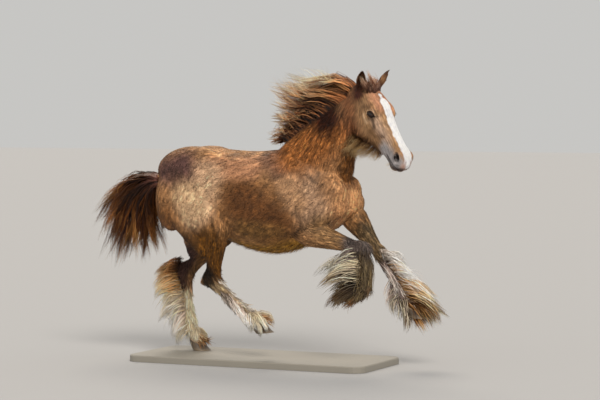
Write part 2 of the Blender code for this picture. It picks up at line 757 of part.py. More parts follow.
def hoof_frame(name):
    """The coronet of a leg and the turn of its hoof about the cross axis from a standing one."""
    coronet, toe = Vector(LEGS[name]["coronet"]), Vector(LEGS[name]["toe"])
    reach = toe - coronet
    pitch = math.atan2(reach.z, reach.x) - math.atan2(-HOOF_DROP, HOOF_REACH)
    return coronet, Matrix.Rotation(-pitch, 4, "Y")


def hoof(name):
    """One hoof: a slanting cone with a flat sole, below a slanting coronet."""
    coronet, turn = hoof_frame(name)
    rings = []
    for share, width, front, back in (
        (0.0, 0.056, 0.052, 0.050),
        (0.12, 0.059, 0.054, 0.052),
        (0.55, 0.061, 0.058, 0.050),
        (1.0, 0.064, 0.062, 0.050),
    ):
        ring = []
        for k in range(HOOF_SIDES):
            angle = 2 * math.pi * k / HOOF_SIDES
            c, s = math.cos(angle), math.sin(angle)
            top = Vector((c * (front if c > 0 else back), s * width, -0.012 - 0.024 * c))
            shift = share * 0.028
            low = Vector((c * (front if c > 0 else back) + shift, s * width, -HOOF_DROP))
            ring.append(top.lerp(low, share))
        rings.append([coronet + turn @ p for p in ring])
    return skin_rings("hoof_" + name, rings)


def rounded_plate(name, centre, size, corner, edge):
    """A flat plate with rounded corners and a small bevel round its upper edge."""
    outlines = []
    for inset, z in ((0.0, 0.0), (0.0, size.z - edge), (edge, size.z)):
        ring = []
        for quarter in range(4):
            sx, sy = ((1, 1), (-1, 1), (-1, -1), (1, -1))[quarter]
            middle = Vector((sx * (size.x / 2 - corner), sy * (size.y / 2 - corner), z))
            for step in range(6):
                angle = math.pi / 2 * (quarter + step / 5)
                turned = Vector((math.cos(angle), math.sin(angle), 0))
                ring.append(centre + middle + turned * (corner - inset))
        outlines.append(ring)
    return skin_rings(name, outlines)


def ear_points(side):
    """The base and the tip of an ear, side being 1 for the left and -1 for the right."""
    if side < 0:
        return on_head(0.022, -0.068, -0.036), on_head(-0.028, -0.100, 0.064)
    return on_head(0.040, 0.074, -0.016), on_head(-0.022, 0.118, 0.088)


def ear(side):
    """A pricked ear: a pointed leaf rolled into a cup that opens forwards and outwards."""
    along, _, left = head_frame()
    base, tip = ear_points(side)
    axis = (tip - base).normalized()
    facing = (along * 0.75 + left * side * 0.55).normalized()
    facing = (facing - axis * facing.dot(axis)).normalized()
    wide = axis.cross(facing)
    length = (tip - base).length
    rings = []
    for share, width, hollow in EAR_SECTIONS:
        centre = base + axis * (GAP * 2 + length * share)
        ring = []
        for k in range(11):
            angle = math.radians(-135 + 270 * k / 10)
            ring.append(centre + (wide * math.sin(angle) - facing * math.cos(angle) * 0.85) * width)
        for k in range(1, 6):
            angle = math.radians(105 - 210 * k / 6)
            inner = width * hollow
            ring.append(centre + (wide * math.sin(angle) - facing * math.cos(angle) * 0.85) * inner)
        rings.append(ring)
    return skin_rings("ear_left" if side > 0 else "ear_right", rings)


def thin_out(obj, budget):
    """Reduces a mesh to about a number of triangles, keeping the finest forms longest."""
    work = bmesh.new()
    work.from_mesh(obj.data)
    bmesh.ops.triangulate(work, faces=work.faces)
    work.to_mesh(obj.data)
    work.free()
    group = obj.vertex_groups.new(name="plain")
    along, out, _ = head_frame()
    for vert in obj.data.vertices:
        rel = vert.co - POLL
        on_face = rel.dot(along) > 0.02 and rel.length < 0.75 and rel.dot(out) > -0.30
        leg = vert.co.z < 0.62 or (vert.co.x > 0.56 and vert.co.z < 0.86)
        group.add([vert.index], 0.5 if on_face else (0.8 if leg else 1.0), "REPLACE")
    reduce = obj.modifiers.new("reduce", "DECIMATE")
    reduce.ratio = budget / len(obj.data.polygons)
    reduce.vertex_group = "plain"
    reduce.vertex_group_factor = FACE_CARE
    reduce.use_collapse_triangulate = True
    settle(obj)
    obj.vertex_groups.clear()
    return obj


def lock(path, width, thickness, ridge, sections=LOCK_SECTIONS):
    """One flat tapered lock of hair along a path of points, with a low ridge on its outer side."""
    path = np.array([tuple(p) for p in path])
    knots = np.linspace(0, 1, len(path))
    shares = np.array([share for share, _ in sections] + [1.0])
    centres = [Vector(p) for p in spline(knots, path, shares)]
    points = []
    for i, (share, wide) in enumerate(sections):
        along = (centres[i + 1] - centres[max(i - 1, 0)]).normalized()
        outer = (Vector(ridge) - along * along.dot(Vector(ridge))).normalized()
        half = along.cross(outer) * width * wide / 2
        rise = outer * thickness * wide
        low = centres[i] - rise * 0.3
        points += [low + half, centres[i] + rise * 0.7, low - half]
    points.append(centres[-1])
    faces = [(2, 1, 0)]
    for i in range(len(sections) - 1):
        for j in range(3):
            k = (j + 1) % 3
            faces.append((3 * i + j, 3 * i + k, 3 * i + 3 + k, 3 * i + 3 + j))
    last = 3 * (len(sections) - 1)
    faces += [(last + j, last + (j + 1) % 3, len(points) - 1) for j in range(3)]
    return mesh_from("lock", points, faces)


def fuse_locks(node, pieces, *neighbours):
    """Joins a set of locks to the node they grow from with one Boolean, and removes the set.

    The crossings of the locks are then simplified, away from the skin and from other nodes.
    """
    skin = {place_key(vert.co) for vert in node.data.vertices}
    bunch = bpy.data.collections.new("locks")
    bpy.context.scene.collection.children.link(bunch)
    for piece in pieces:
        bpy.context.scene.collection.objects.unlink(piece)
        bunch.objects.link(piece)
    step = node.modifiers.new("locks", "BOOLEAN")
    step.operation = "UNION"
    step.operand_type = "COLLECTION"
    step.collection = bunch
    step.solver = "MANIFOLD"
    settle(node)
    remove(*pieces)
    bpy.data.collections.remove(bunch)
    keep_largest(node)
    trees = [surface_tree(other) for other in neighbours]
    group = node.vertex_groups.new(name="hair")
    for vert in node.data.vertices:
        close = any(tree.find_nearest(vert.co, NEAR)[0] is not None for tree in trees)
        group.add([vert.index], 0.0 if close or place_key(vert.co) in skin else 1.0, "REPLACE")
    reduce = node.modifiers.new("reduce", "DECIMATE")
    reduce.ratio = min(1.0, HAIRY_TRIANGLES[node.name.split("_")[0]] / len(node.data.polygons))
    reduce.vertex_group = "hair"
    reduce.vertex_group_factor = SKIN_CARE
    reduce.use_collapse_triangulate = True
    settle(node)
    node.vertex_groups.clear()
    keep_largest(node)
    keep_clear([node], *neighbours, gap=GAP / 2)
    return node


def place_key(point):
    """A point rounded to a hundredth of a millimetre, to find it again in another mesh."""
    return tuple(round(value, 5) for value in point)


def surface_tree(obj):
    """A search tree over the surface of an object."""
    mesh = obj.data
    return BVHTree.FromPolygons([v.co for v in mesh.vertices], [p.vertices for p in mesh.polygons])


def guided_locks(guides, count, width, thickness, spread, seed):
    """Locks that follow a family of guide paths, in layers that lie beside each other.

    spread holds the sideways distance of the outermost layer at the root and at the tip.
    """
    chance = np.random.default_rng(seed)
    table = np.array(guides, float)
    rows = np.linspace(0, 1, len(table))
    made = []
    for i in range(count):
        share = (i + 0.5) / count
        path = spline(rows, table, np.array([share]))[0]
        layer = LAYERS[i % len(LAYERS)]
        reach = 1 + chance.uniform(-0.16, 0.06)
        lift = chance.normal(0, 0.010)
        points = []
        for k, point in enumerate(path):
            along = k / (len(path) - 1)
            side = layer * (spread[0] + (spread[1] - spread[0]) * along)
            drop = -abs(layer) * 0.020 * (1 - along)
            moved = path[0] + (point - path[0]) * (1 + (reach - 1) * along)
            points.append(Vector(moved) + Vector((0, side, lift * along + drop)))
        ridge = Vector((0, -1.0 if layer < 0 else 1.0, chance.uniform(-0.5, 0.5)))
        size = min(1.0, (path[-1] - path[0]).dot(path[-1] - path[0]) ** 0.5 / FULL_LENGTH)
        made.append(lock(points, width * size * chance.uniform(0.85, 1.1), thickness, ridge))
    return made


def hair_core(name, guides, deep, wide):
    """A plain core inside a family of guides, which reaches only part of the way to the tips."""
    table = np.array(guides, float)
    rings = []
    count = len(table)
    rows = spline(np.linspace(0, 1, count), table, np.linspace(0, 1, 9))
    for path in rows:
        knots = np.linspace(0, 1, len(path))
        root, tip = (Vector(p) for p in spline(knots, path, np.array([0.0, CORE_REACH])))
        middle = root.lerp(tip, 0.5)
        side = Vector((0, 1, 0))
        rings.append([
            root + side * wide, middle + side * wide * 0.8, tip,
            middle - side * wide * 0.8, root - side * wide,
            root - (tip - root).normalized() * deep,
        ])
    return skin_rings(name, rings)


def mane_locks():
    """The mane: locks from the crest that stream back in the wind."""
    return guided_locks(MANE_GUIDES, MANE_LOCKS, 0.100, 0.024, (0.022, 0.055), 11)


def tail_core():
    """The dock and the thick of the tail, less than half way down."""
    made = []
    stations = (
        ((-0.735, 0.000, 1.120), 0.040),
        ((-0.800, 0.000, 1.118), 0.044),
        ((-0.870, 0.000, 1.095), 0.052),
        ((-0.945, 0.006, 1.030), 0.060),
        ((-1.000, 0.012, 0.940), 0.050),
        ((-1.030, 0.018, 0.860), 0.020),
    )
    for i, (centre, radius) in enumerate(stations):
        before = Vector(stations[max(i - 1, 0)][0])
        after = Vector(stations[min(i + 1, len(stations) - 1)][0])
        along = (after - before).normalized()
        side = Vector((0, 1, 0))
        made.append(oval(centre, side, along.cross(side), radius, radius, radius, 2.0, 10))
    return skin_rings("tail", made)


def tail_locks():
    """The tail: locks that arch back from the dock and fall."""
    return guided_locks(TAIL_GUIDES, TAIL_LOCKS, 0.096, 0.026, (0.026, 0.085), 23)


def forelock_locks():
    """The short forelock, which stands up between the ears and falls on the forehead."""
    placed = [[tuple(on_head(*point)) for point in guide] for guide in FORELOCK_GUIDES]
    along, out, _ = head_frame()
    table = np.array(placed)
    chance = np.random.default_rng(5)
    made = []
    for i in range(FORELOCK_LOCKS):
        share = (i + 0.5) / FORELOCK_LOCKS
        path = spline(np.linspace(0, 1, len(table)), table, np.array([share]))[0]
        reach = 1 + chance.uniform(-0.25, 0.05)
        stretch = [1 + (reach - 1) * k / (len(path) - 1) for k in range(len(path))]
        points = [Vector(path[0] + (p - path[0]) * s) for p, s in zip(path, stretch)]
        made.append(lock(points, 0.040, 0.013, out + along * 0.3))
    return made


def beard_locks():
    """The hair that hangs from the edge of the jaw."""
    _, out, left = head_frame()
    chance = np.random.default_rng(8)
    made = []
    for i in range(BEARD_LOCKS):
        share = i / (BEARD_LOCKS - 1)
        side = (-1, 1)[i % 2]
        distance = 0.20 + 0.20 * share
        depth = -0.246 + 0.080 * share
        root = on_head(distance, side * 0.030, depth)
        length = chance.uniform(0.070, 0.090) * (1 - 0.35 * share)
        fall = Vector((-0.45, side * 0.18, -0.85)).normalized()
        middle = root + fall * length * 0.5 - out * 0.006
        tip = root + fall * length + Vector((-0.016, 0, 0))
        made.append(lock([root, middle, tip], 0.038, 0.012, left * side, SHORT_SECTIONS))
    return made


def feather_locks(name):
    """The feather of one leg: fans of locks that stream off the cannon and lap over the hoof."""
    middle = Vector(LEGS[name]["fetlock"]).y
    across = Vector((0, 1, 0))
    chance = np.random.default_rng(sum(ord(letter) for letter in name))
    made = []
    for root, tip, spread, lanes, width in FEATHER_FANS[name]:
        for lane in lanes:
            start = Vector((root[0], middle + lane * 0.022, root[1]))
            end = Vector((tip[0], middle + lane * spread, tip[1]))
            end += Vector(chance.uniform(-0.012, 0.012, 3))
            fall = end - start
            outward = fall.cross(across).normalized() * math.copysign(1, fall.x)
            points = [start]
            for share, bow in ((0.35, 0.11), (0.70, 0.10), (1.0, 0.0)):
                rounded = across * lane * 0.018 * math.sin(share * math.pi)
                points.append(start + fall * share + outward * fall.length * bow + rounded)
            ridge = outward * (1 - 0.7 * abs(lane)) + across * lane
            made.append(lock(points, width, 0.022, ridge, SHORT_SECTIONS))
    return made


def feather_core(name):
    """The plain core inside the long hair of a leg."""
    middle = Vector(LEGS[name]["fetlock"]).y
    fans = FEATHER_FANS[name][: FEATHER_CORE[name]]
    guides = [((root[0], middle, root[1]), (tip[0], middle, tip[1])) for root, tip, *_ in fans]
    return hair_core("core", guides, 0.010, 0.026)


def plane_cutter(point, normal):
    """A big box that fills the side of a plane that its normal points to."""
    return box_cutter(point, normal, (0, 3), (-3, 3), (-3, 3))


def cut(obj, cutter):
    """Takes a cutter's shape out of an object and removes the cutter."""
    boolean(obj, cutter, "DIFFERENCE")
    remove(cutter)


def add(obj, piece):
    """Joins a piece to an object and removes the piece."""
    boolean(obj, piece, "UNION", "MANIFOLD")
    remove(piece)


def keep_clear(pieces, *others, gap=GAP * 2):
    """Cuts pieces back so that they stay a fine gap away from other nodes."""
    for other in others:
        around = copy_of(other, "around")
        swell(around, gap)
        for piece in pieces:
            boolean(piece, around, "DIFFERENCE", "MANIFOLD")
        remove(around)
    return [piece for piece in pieces if piece.data.polygons]


def head_prism(grow=0.0):
    """The space of the head: in front of the line behind the ears and jowls."""
    left = head_frame()[2]
    ahead = left.cross(Vector((0, 0, 1)))
    outline = ((0, 0), (0.218, 0.466), (1.4, 0.466), (1.4, -0.636), (0.216, -0.636))
    rings = []
    for side in (-0.6 - grow, 0.6 + grow):
        start = JOWL_BACK + left * side - ahead * grow * 1.2
        rings.append([start + ahead * a + Vector((0, 0, b)) for a, b in outline])
    return skin_rings("cutter", rings)


def build_leg(name, body):
    """Takes a leg off the body and returns its upper and lower nodes and its hoof."""
    boxes = leg_boxes(name)
    lower = carve(body, "leg_" + name + "_lower", boxes["lower"])
    upper = carve(body, "leg_" + name + "_upper", boxes["upper"])
    foot = hoof(name)
    keep_clear([lower], foot)
    hair = [feather_core(name)] + feather_locks(name)
    fuse_locks(lower, keep_clear(hair, foot, upper), foot, upper)
    cut(lower, plane_cutter((0, 0, GAP), (0, 0, -1)))
    return [upper, lower, foot]


def ear_stub(side):
    """The flat-topped root on which an ear stands."""
    base, tip = ear_points(side)
    axis = (tip - base).normalized()
    return limb("stub", base - axis * 0.05, base, (
        (0, 0.020, 0.020, 0.020),
        (0.5, 0.022, 0.022, 0.022),
        (1, 0.022, 0.022, 0.022),
    ), 3, 12)


def eye_frame(side):
    """The centre of an eye, the way it looks, and the direction from its back to its front corner."""
    along, out, left = head_frame()
    centre = on_head(EYE_SPOT[0], EYE_SPOT[1] * side, EYE_SPOT[2])
    outward = (left * side * 0.93 + out * 0.25 + along * 0.16).normalized()
    length = along * 0.88 + out * 0.47
    length = (length - outward * length.dot(outward)).normalized()
    return centre, outward, length


def lids(side):
    """The upper and lower lid of an eye: two thick arcs round the eyeball."""
    centre, outward, length = eye_frame(side)
    height = outward.cross(length) * side
    made = []
    for way, rise in ((1, 0.72), (-1, 0.58)):
        rings = []
        for k in range(8):
            share = -1 + 2 * k / 7
            x = share * 1.20
            y = way * rise * math.cos(share * math.pi / 2)
            depth = math.sqrt(1.30 - (x * x + y * y) * 0.62)
            point = centre + (length * x + height * y + outward * depth * 0.92) * EYE_RADIUS
            fat = 0.0060 * (1 - 0.35 * share * share)
            ahead = (length - height * way * math.sin(share * math.pi / 2) * 0.8).normalized()
            rise_way = ahead.cross(outward).normalized()
            rings.append(oval(point, outward, rise_way, fat * 1.3, fat, fat, 2.0, 6))
        made.append(skin_rings("lid", rings))
    return made


def face_cutters():
    """The hollows of the face: two nostrils and the line of the mouth."""
    along, out, left = head_frame()
    slant = along * 0.76 - out * 0.65
    made = []
    for side in (-1, 1):
        centre = on_head(0.534, side * 0.068, -0.050)
        made.append(mass("nostril", centre, (0.025, 0.020, 0.012), slant, left, (12, 8)))
    rings = []
    for k in range(10):
        turn = math.radians(-98 + 196 * k / 9)
        inward = (along * math.cos(turn) + left * math.sin(turn)).normalized()
        c, s = math.cos(turn), math.sin(turn)
        centre = on_head(0.478 + 0.122 * c, 0.051 * s, -0.114 + 0.012 * c)
        rings.append(oval(centre, inward, out, 0.013, 0.0026, 0.0026, 2.0, 6))
    made.append(skin_rings("mouth", rings))
    return made


def build_head(head, neck):
    """Adds the lids, sockets, ears, mouth and hair of the head and returns its separate nodes."""
    eyes = []
    ears = []
    for side in (-1, 1):
        for lid in lids(side):
            add(head, lid)
        centre, outward, length = eye_frame(side)
        socket = (EYE_RADIUS + GAP * 1.5,) * 3
        cut(head, mass("socket", centre, socket, outward, length, EYE_FINENESS))
        name = "eye_left" if side > 0 else "eye_right"
        eyes.append(mass(name, centre, (EYE_RADIUS,) * 3, outward, length, EYE_FINENESS))
        add(head, ear_stub(side))
        ears.append(ear(side))
    for cutter in face_cutters():
        cut(head, cutter)
    keep_clear(ears, head)
    hair = forelock_locks() + beard_locks()
    fuse_locks(head, keep_clear(hair, neck, *ears), neck, *ears, *eyes)
    return eyes + ears


def main():
    """Builds the horse and its base."""
    clear_scene()
    body = thin_out(model_body(), BODY_TRIANGLES)
    nodes = []
    for name in LEGS:
        nodes += build_leg(name, body)
    head = copy_of(body, "head")
    prism = head_prism()
    boolean(head, prism, "INTERSECT")
    remove(prism)
    cut(body, head_prism(GAP))
    neck = carve(body, "neck", (NECK_CUT, NECK_CUT_TURN, (0, 1), (-0.5, 0.5), (-0.6, 0.35)))
    body.name = "torso"
    separate = build_head(head, neck)
    mane = [hair_core("mane", MANE_GUIDES, 0.030, 0.024)] + mane_locks()
    fuse_locks(neck, keep_clear(mane, head, body), head, body, *separate)
    tail = tail_core()
    keep_clear([tail], body)
    fuse_locks(tail, keep_clear(tail_locks(), body), body)
    lowest = BASE_CENTRE - Vector((0, 0, BASE_SIZE.z + GAP))
    plate = rounded_plate("stand_base", lowest, BASE_SIZE, BASE_CORNER, BASE_EDGE)
    nodes += [head, neck, body, tail, plate] + separate
    finish(nodes)


def swell(obj, distance):
    """Moves every point of a mesh outwards by a distance."""
    work = bmesh.new()
    work.from_mesh(obj.data)
    work.normal_update()
    for vert in work.verts:
        vert.co += vert.normal * distance
    work.to_mesh(obj.data)
    work.free()


def finish(nodes):
    """Centres the nodes over the origin and colours them."""
    low = Vector((1e9,) * 3)
    high = Vector((-1e9,) * 3)
    for node in nodes:
        for vert in node.data.vertices:
            for axis in range(3):
                low[axis] = min(low[axis], vert.co[axis])
                high[axis] = max(high[axis], vert.co[axis])
    shift = Vector((-(low.x + high.x) / 2, -(low.y + high.y) / 2, -low.z))
    looks = {}
    for name, (colour, rough) in COLOURS.items():
        look = bpy.data.materials.new(name)
        look.use_nodes = True
        shader = look.node_tree.nodes["Principled BSDF"]
        shader.inputs["Base Color"].default_value = (*colour, 1.0)
        shader.inputs["Roughness"].default_value = rough
        looks[name] = look
    for node in nodes:
        node.data.transform(Matrix.Translation(shift))
        slot = "coat"
        for key, value in SLOTS.items():
            if node.name.startswith(key):
                slot = value
        node.data.materials.clear()
        node.data.materials.append(looks[slot])


if __name__ == "__main__":
    main()
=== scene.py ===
"""Looks of a young gypsy vanner horse at the canter on a museum base.

The tables of the form are the ones that the solids come from, in the horse's own
frame: x forward, y to its left, z up, with the ground at z = 0. One fine skin is
grown from them, the short coat, the long hair, the eyes and the hooves are set on
it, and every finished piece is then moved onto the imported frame.
"""

from __future__ import annotations

import json
import logging
import math
from dataclasses import dataclass, field, replace
from enum import Enum
from typing import Any, Sequence

import bmesh
import bpy
import numpy as np
from mathutils import Matrix, Vector

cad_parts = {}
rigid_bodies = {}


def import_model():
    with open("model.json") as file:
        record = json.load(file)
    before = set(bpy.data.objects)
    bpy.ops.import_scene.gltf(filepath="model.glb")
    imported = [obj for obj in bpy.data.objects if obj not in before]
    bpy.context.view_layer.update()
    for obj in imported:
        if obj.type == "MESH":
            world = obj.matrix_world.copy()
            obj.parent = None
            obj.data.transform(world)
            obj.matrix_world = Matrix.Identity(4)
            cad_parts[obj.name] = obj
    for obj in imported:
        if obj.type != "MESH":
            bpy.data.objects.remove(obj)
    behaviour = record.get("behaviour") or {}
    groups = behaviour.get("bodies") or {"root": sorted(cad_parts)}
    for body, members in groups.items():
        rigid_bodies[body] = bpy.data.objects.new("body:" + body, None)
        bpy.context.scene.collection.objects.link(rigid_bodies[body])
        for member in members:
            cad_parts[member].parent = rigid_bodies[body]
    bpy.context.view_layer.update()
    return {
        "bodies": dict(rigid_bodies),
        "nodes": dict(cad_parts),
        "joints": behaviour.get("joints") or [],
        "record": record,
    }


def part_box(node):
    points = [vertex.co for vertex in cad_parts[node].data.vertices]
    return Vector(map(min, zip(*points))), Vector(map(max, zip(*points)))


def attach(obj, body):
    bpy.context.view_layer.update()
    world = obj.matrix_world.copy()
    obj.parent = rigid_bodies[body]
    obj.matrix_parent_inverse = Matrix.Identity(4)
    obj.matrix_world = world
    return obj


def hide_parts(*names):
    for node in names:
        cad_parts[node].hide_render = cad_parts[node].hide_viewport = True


LOG = logging.getLogger("horse")
Array = np.ndarray
Object = bpy.types.Object
Point = tuple[float, float, float]

BODY = "root"
TINT = "Tint"
BAKE_MAP = "OFBake"
# the unwrap has four fields: the metres that each holds, and its share of the unwrap's side
UNWRAP_LENGTH = 2.5
UNWRAP_SHARE = 0.46
# side of a tuft's own patch on the unwrap
TUFT_PATCH = 0.003
RIPPLE_WAVES = 7
STREAK_WAVES = 70
LASHES = 34
WHISKERS = 70
# how a strand's width runs from root to tip, and its thickness for each unit of width
TAPER = ((0, 0.15, 0.6, 1.0), (0.7, 1.0, 0.85, 0.12))
THICKNESS = 0.32
# how closely strays and the other strands of a mane or tail keep to their lock
HOLD = (0.25, 0.82)
# the least height of a feather's hair over the ground
GROUND_GAP = 0.004
MIRROR = np.array((1, -1, 1))
SIDES = (-1, 1)
KERATIN_IOR = 1.55


# ---- small helpers


def linear(code: str) -> Array:
    """Turns an sRGB hex colour into linear red, green and blue.

    Args:
        code: the colour as "#rrggbb".

    Returns:
        Three linear values between 0 and 1.
    """
    parts = np.array([int(code[i : i + 2], 16) for i in (1, 3, 5)]) / 255
    return np.where(parts <= 0.04045, parts / 12.92, ((parts + 0.055) / 1.055) ** 2.4)


def vec(*values: float) -> Array:
    """A numpy vector of the given numbers."""
    return np.array(values, float)


def unit(value: Array) -> Array:
    """Vectors of length one along the last axis."""
    return value / np.maximum(np.linalg.norm(value, axis=-1, keepdims=True), 1e-12)


def smooth(low: float, high: float, value: Array) -> Array:
    """A soft step from 0 at low to 1 at high."""
    share = np.clip((value - low) / (high - low), 0, 1)
    return share * share * (3 - 2 * share)


def hump(value: Array, middle: float, width: float) -> Array:
    """A soft hill of height 1 over the middle."""
    return np.exp(-(((value - middle) / width) ** 2))


def blend(under: Array, over: Array, share: Array) -> Array:
    """One value laid over another, by a share from 0 to 1."""
    return under * (1 - share) + over * share


def spline(knots: Array, values: Array, at: Array) -> Array:
    """Smooth values through a few knots.

    Args:
        knots: rising places of the known values.
        values: the known values, one row for each knot.
        at: the places to find.

    Returns:
        One row of values for each place.
    """
    knots, values = np.asarray(knots, float), np.asarray(values, float)
    slopes = np.gradient(values, knots, axis=0)
    at = np.clip(at, knots[0], knots[-1])
    i = np.clip(np.searchsorted(knots, at, side="right") - 1, 0, len(knots) - 2)
    step = knots[i + 1] - knots[i]
    shape = (len(i),) + (1,) * (values.ndim - 1)
    t, step = ((at - knots[i]) / step).reshape(shape), step.reshape(shape)
    return (
        (2 * t**3 - 3 * t**2 + 1) * values[i]
        + (t**3 - 2 * t**2 + t) * step * slopes[i]
        + (3 * t**2 - 2 * t**3) * values[i + 1]
        + (t**3 - t**2) * step * slopes[i + 1]
    )


def ripple(points: Array, size: float, seed: int) -> Array:
    """Soft seeded waves through space, to vary what should not look even.

    Args:
        points: places, one row each.
        size: length of a wave in metres.
        seed: picks the waves.

    Returns:
        A value of about -1 to 1 for each place.
    """
    chance = np.random.default_rng(seed)
    total = np.zeros(len(points))
    for _ in range(RIPPLE_WAVES):
        way = unit(chance.normal(size=3)) * math.tau / (size * chance.uniform(0.6, 1.7))
        total += np.sin(points @ way + chance.uniform(0, math.tau))
    return total / math.sqrt(RIPPLE_WAVES)


def streaks(points: Array, ways: Array, size: float, length: float, seed: int) -> Array:
    """Fine waves drawn out along the hair, as its clumps catch light and shade.

    Args:
        points: places, one row each.
        ways: the direction of the hair at each place.
        size: width of a clump in metres.
        length: length of a clump in metres.
        seed: picks the waves.

    Returns:
        A value of about -1 to 1 for each place.
    """
    chance = np.random.default_rng(seed)
    total = np.zeros(len(points))
    for _ in range(STREAK_WAVES):
        wave = unit(chance.normal(size=3)) * math.tau / (2 * size * chance.uniform(0.7, 1.5))
        blur = np.sinc(ways @ wave * length / math.tau)
        total += np.sin(points @ wave + chance.uniform(0, math.tau)) * blur
    return total / total.std()


def near_line(points: Array, start: Sequence[float], end: Sequence[float], both: bool = False) -> Array:
    """How far points lie from a straight line between two places.

    Args:
        points: places, one row each.
        start: one end of the line.
        end: its other end.
        both: whether the same line on the horse's other side counts too.

    Returns:
        The distances.
    """
    first, line = np.array(start, float), np.array(end, float) - np.array(start, float)
    share = np.clip((points - first) @ line / max(line @ line, 1e-12), 0, 1)
    distance = np.linalg.norm(points - first - share[:, None] * line, axis=1)
    if both:
        distance = np.minimum(distance, near_line(points, np.array(start) * MIRROR, np.array(end) * MIRROR))
    return distance


def add_node(tree: Any, kind: str, settings: dict | None = None, links: dict | None = None) -> Any:
    """Adds a node to a tree with its settings and links.

    Args:
        tree: a shader or geometry node tree.
        kind: the node's type name.
        settings: values by property name, or by socket name or number.
        links: output sockets by the name or number of the input that they feed.

    Returns:
        The new node.
    """
    node = tree.nodes.new(kind)
    for key, value in (settings or {}).items():
        if isinstance(key, str) and key[0].islower():
            setattr(node, key, value)
        else:
            node.inputs[key].default_value = value
    for key, source in (links or {}).items():
        tree.links.new(source, node.inputs[key])
    return node


def linked(name: str, data: Any) -> Object:
    """Makes an object of a mesh, a light or a camera and links it to the scene."""
    made = bpy.data.objects.new(name, data)
    bpy.context.scene.collection.objects.link(made)
    return made


# ---- meshes


@dataclass
class Surface:
    """Points and triangles, before they are a Blender mesh."""

    points: Array
    triangles: Array

    def normals(self) -> Array:
        """The outward direction at each point."""
        a, b, c = (self.points[self.triangles[:, k]] for k in range(3))
        face = np.cross(b - a, c - a)
        total = np.zeros_like(self.points)
        for k in range(3):
            for axis in range(3):
                total[:, axis] += np.bincount(
                    self.triangles[:, k], weights=face[:, axis], minlength=len(self.points)
                )
        return unit(total)

    def areas(self) -> Array:
        """The area of each triangle."""
        a, b, c = (self.points[self.triangles[:, k]] for k in range(3))
        return np.linalg.norm(np.cross(b - a, c - a), axis=1) / 2


def merged(surfaces: Sequence[Surface]) -> Surface:
    """One surface that holds several, side by side."""
    starts = np.cumsum([0] + [len(s.points) for s in surfaces[:-1]])
    return Surface(
        np.concatenate([s.points for s in surfaces]),
        np.concatenate([s.triangles + start for s, start in zip(surfaces, starts)]),
    )


def loft(rings: Array) -> Surface:
    """A closed surface over a row of rings of points.

    Args:
        rings: places by ring and by point round the ring.

    Returns:
        The surface, closed at both ends.
    """
    rings = np.asarray(rings, float)
    rows, count = rings.shape[:2]
    around = np.arange(count)
    following = (around + 1) % count
    starts = np.arange(rows - 1)[:, None] * count
    here, turned = starts + around, starts + following
    quads = np.stack([here, turned, turned + count, here + count], -1).reshape(-1, 4)
    sides = np.concatenate([quads[:, [0, 1, 2]], quads[:, [0, 2, 3]]])
    points = np.concatenate([rings.reshape(-1, 3), rings[0].mean(0)[None], rings[-1].mean(0)[None]])
    last = (rows - 1) * count
    first_cap = np.stack([following, around, np.full(count, rows * count)], 1)
    last_cap = np.stack([last + around, last + following, np.full(count, rows * count + 1)], 1)
    made = Surface(points, np.concatenate([sides, first_cap, last_cap]))
    a, b, c = (points[made.triangles[:, k]] for k in range(3))
    if np.einsum("ij,ij->i", a, np.cross(b, c)).sum() < 0:
        made.triangles = made.triangles[:, ::-1]
    return made


def oval(centre: Array, across: Array, upwards: Array, half: float, high: float, low: float,
         square: float = 2.0, sides: int = 24) -> Array:
    """A ring round a centre whose upper and lower halves may differ.

    Args:
        centre: middle of the ring.
        across: direction of its width.
        upwards: direction of its height.
        half: half its width.
        high: its reach upwards.
        low: its reach downwards.
        square: 2 for an ellipse, more for a squarer ring.
        sides: number of points.

    Returns:
        The points of the ring, in order.
    """
    turn = math.tau * np.arange(sides) / sides
    c, s = np.cos(turn), np.sin(turn)
    side = np.sign(c) * np.abs(c) ** (2 / square) * half
    rise = np.sign(s) * np.abs(s) ** (2 / square) * np.where(s > 0, high, low)
    return np.asarray(centre) + side[:, None] * across + rise[:, None] * upwards


def ellipsoid(centre: Sequence[float], radii: Sequence[float], along: Sequence[float] = (1, 0, 0),
              across: Sequence[float] = (0, 1, 0), fineness: tuple[int, int] = (28, 18)) -> Surface:
    """A rounded mass with its first radius along a direction.

    Args:
        centre: its middle.
        radii: reach along, across and square to both.
        along: direction of the first radius.
        across: direction near the second radius.
        fineness: points round it, and rings along it.

    Returns:
        The closed surface.
    """
    first = unit(np.array(along, float))
    second = np.array(across, float)
    second = unit(second - first * (second @ first))
    third = np.cross(first, second)
    turn = np.linspace(0.02, math.pi - 0.02, fineness[1])
    _, wide, high = radii
    return loft(np.array([
        oval(np.array(centre) - first * radii[0] * math.cos(t), second, third,
             wide * math.sin(t), high * math.sin(t), high * math.sin(t), 2.0, fineness[0])
        for t in turn
    ]))


def limb(start: Sequence[float], end: Sequence[float], stations: Sequence[Sequence[float]],
         rings: int = 20, sides: int = 26) -> Surface:
    """A tapering length of a limb between two joints.

    Args:
        start: the upper joint.
        end: the lower joint.
        stations: share of the length, radius in front, radius behind, half width.
        rings: number of rings along it.
        sides: points round each ring.

    Returns:
        The closed surface.
    """
    first, last = np.array(start, float), np.array(end, float)
    along = unit(last - first)
    front = unit(np.cross(along, vec(0, 1, 0)))
    side = np.cross(front, along)
    table = np.array(stations, float)
    shares = np.linspace(table[0, 0], table[-1, 0], rings)
    sizes = spline(table[:, 0], table[:, 1:], shares)
    return loft(np.array([
        oval(first + (last - first) * share, side, front, wide, fore, aft, 2.2, sides)
        for share, (fore, aft, wide) in zip(shares, sizes)
    ]))


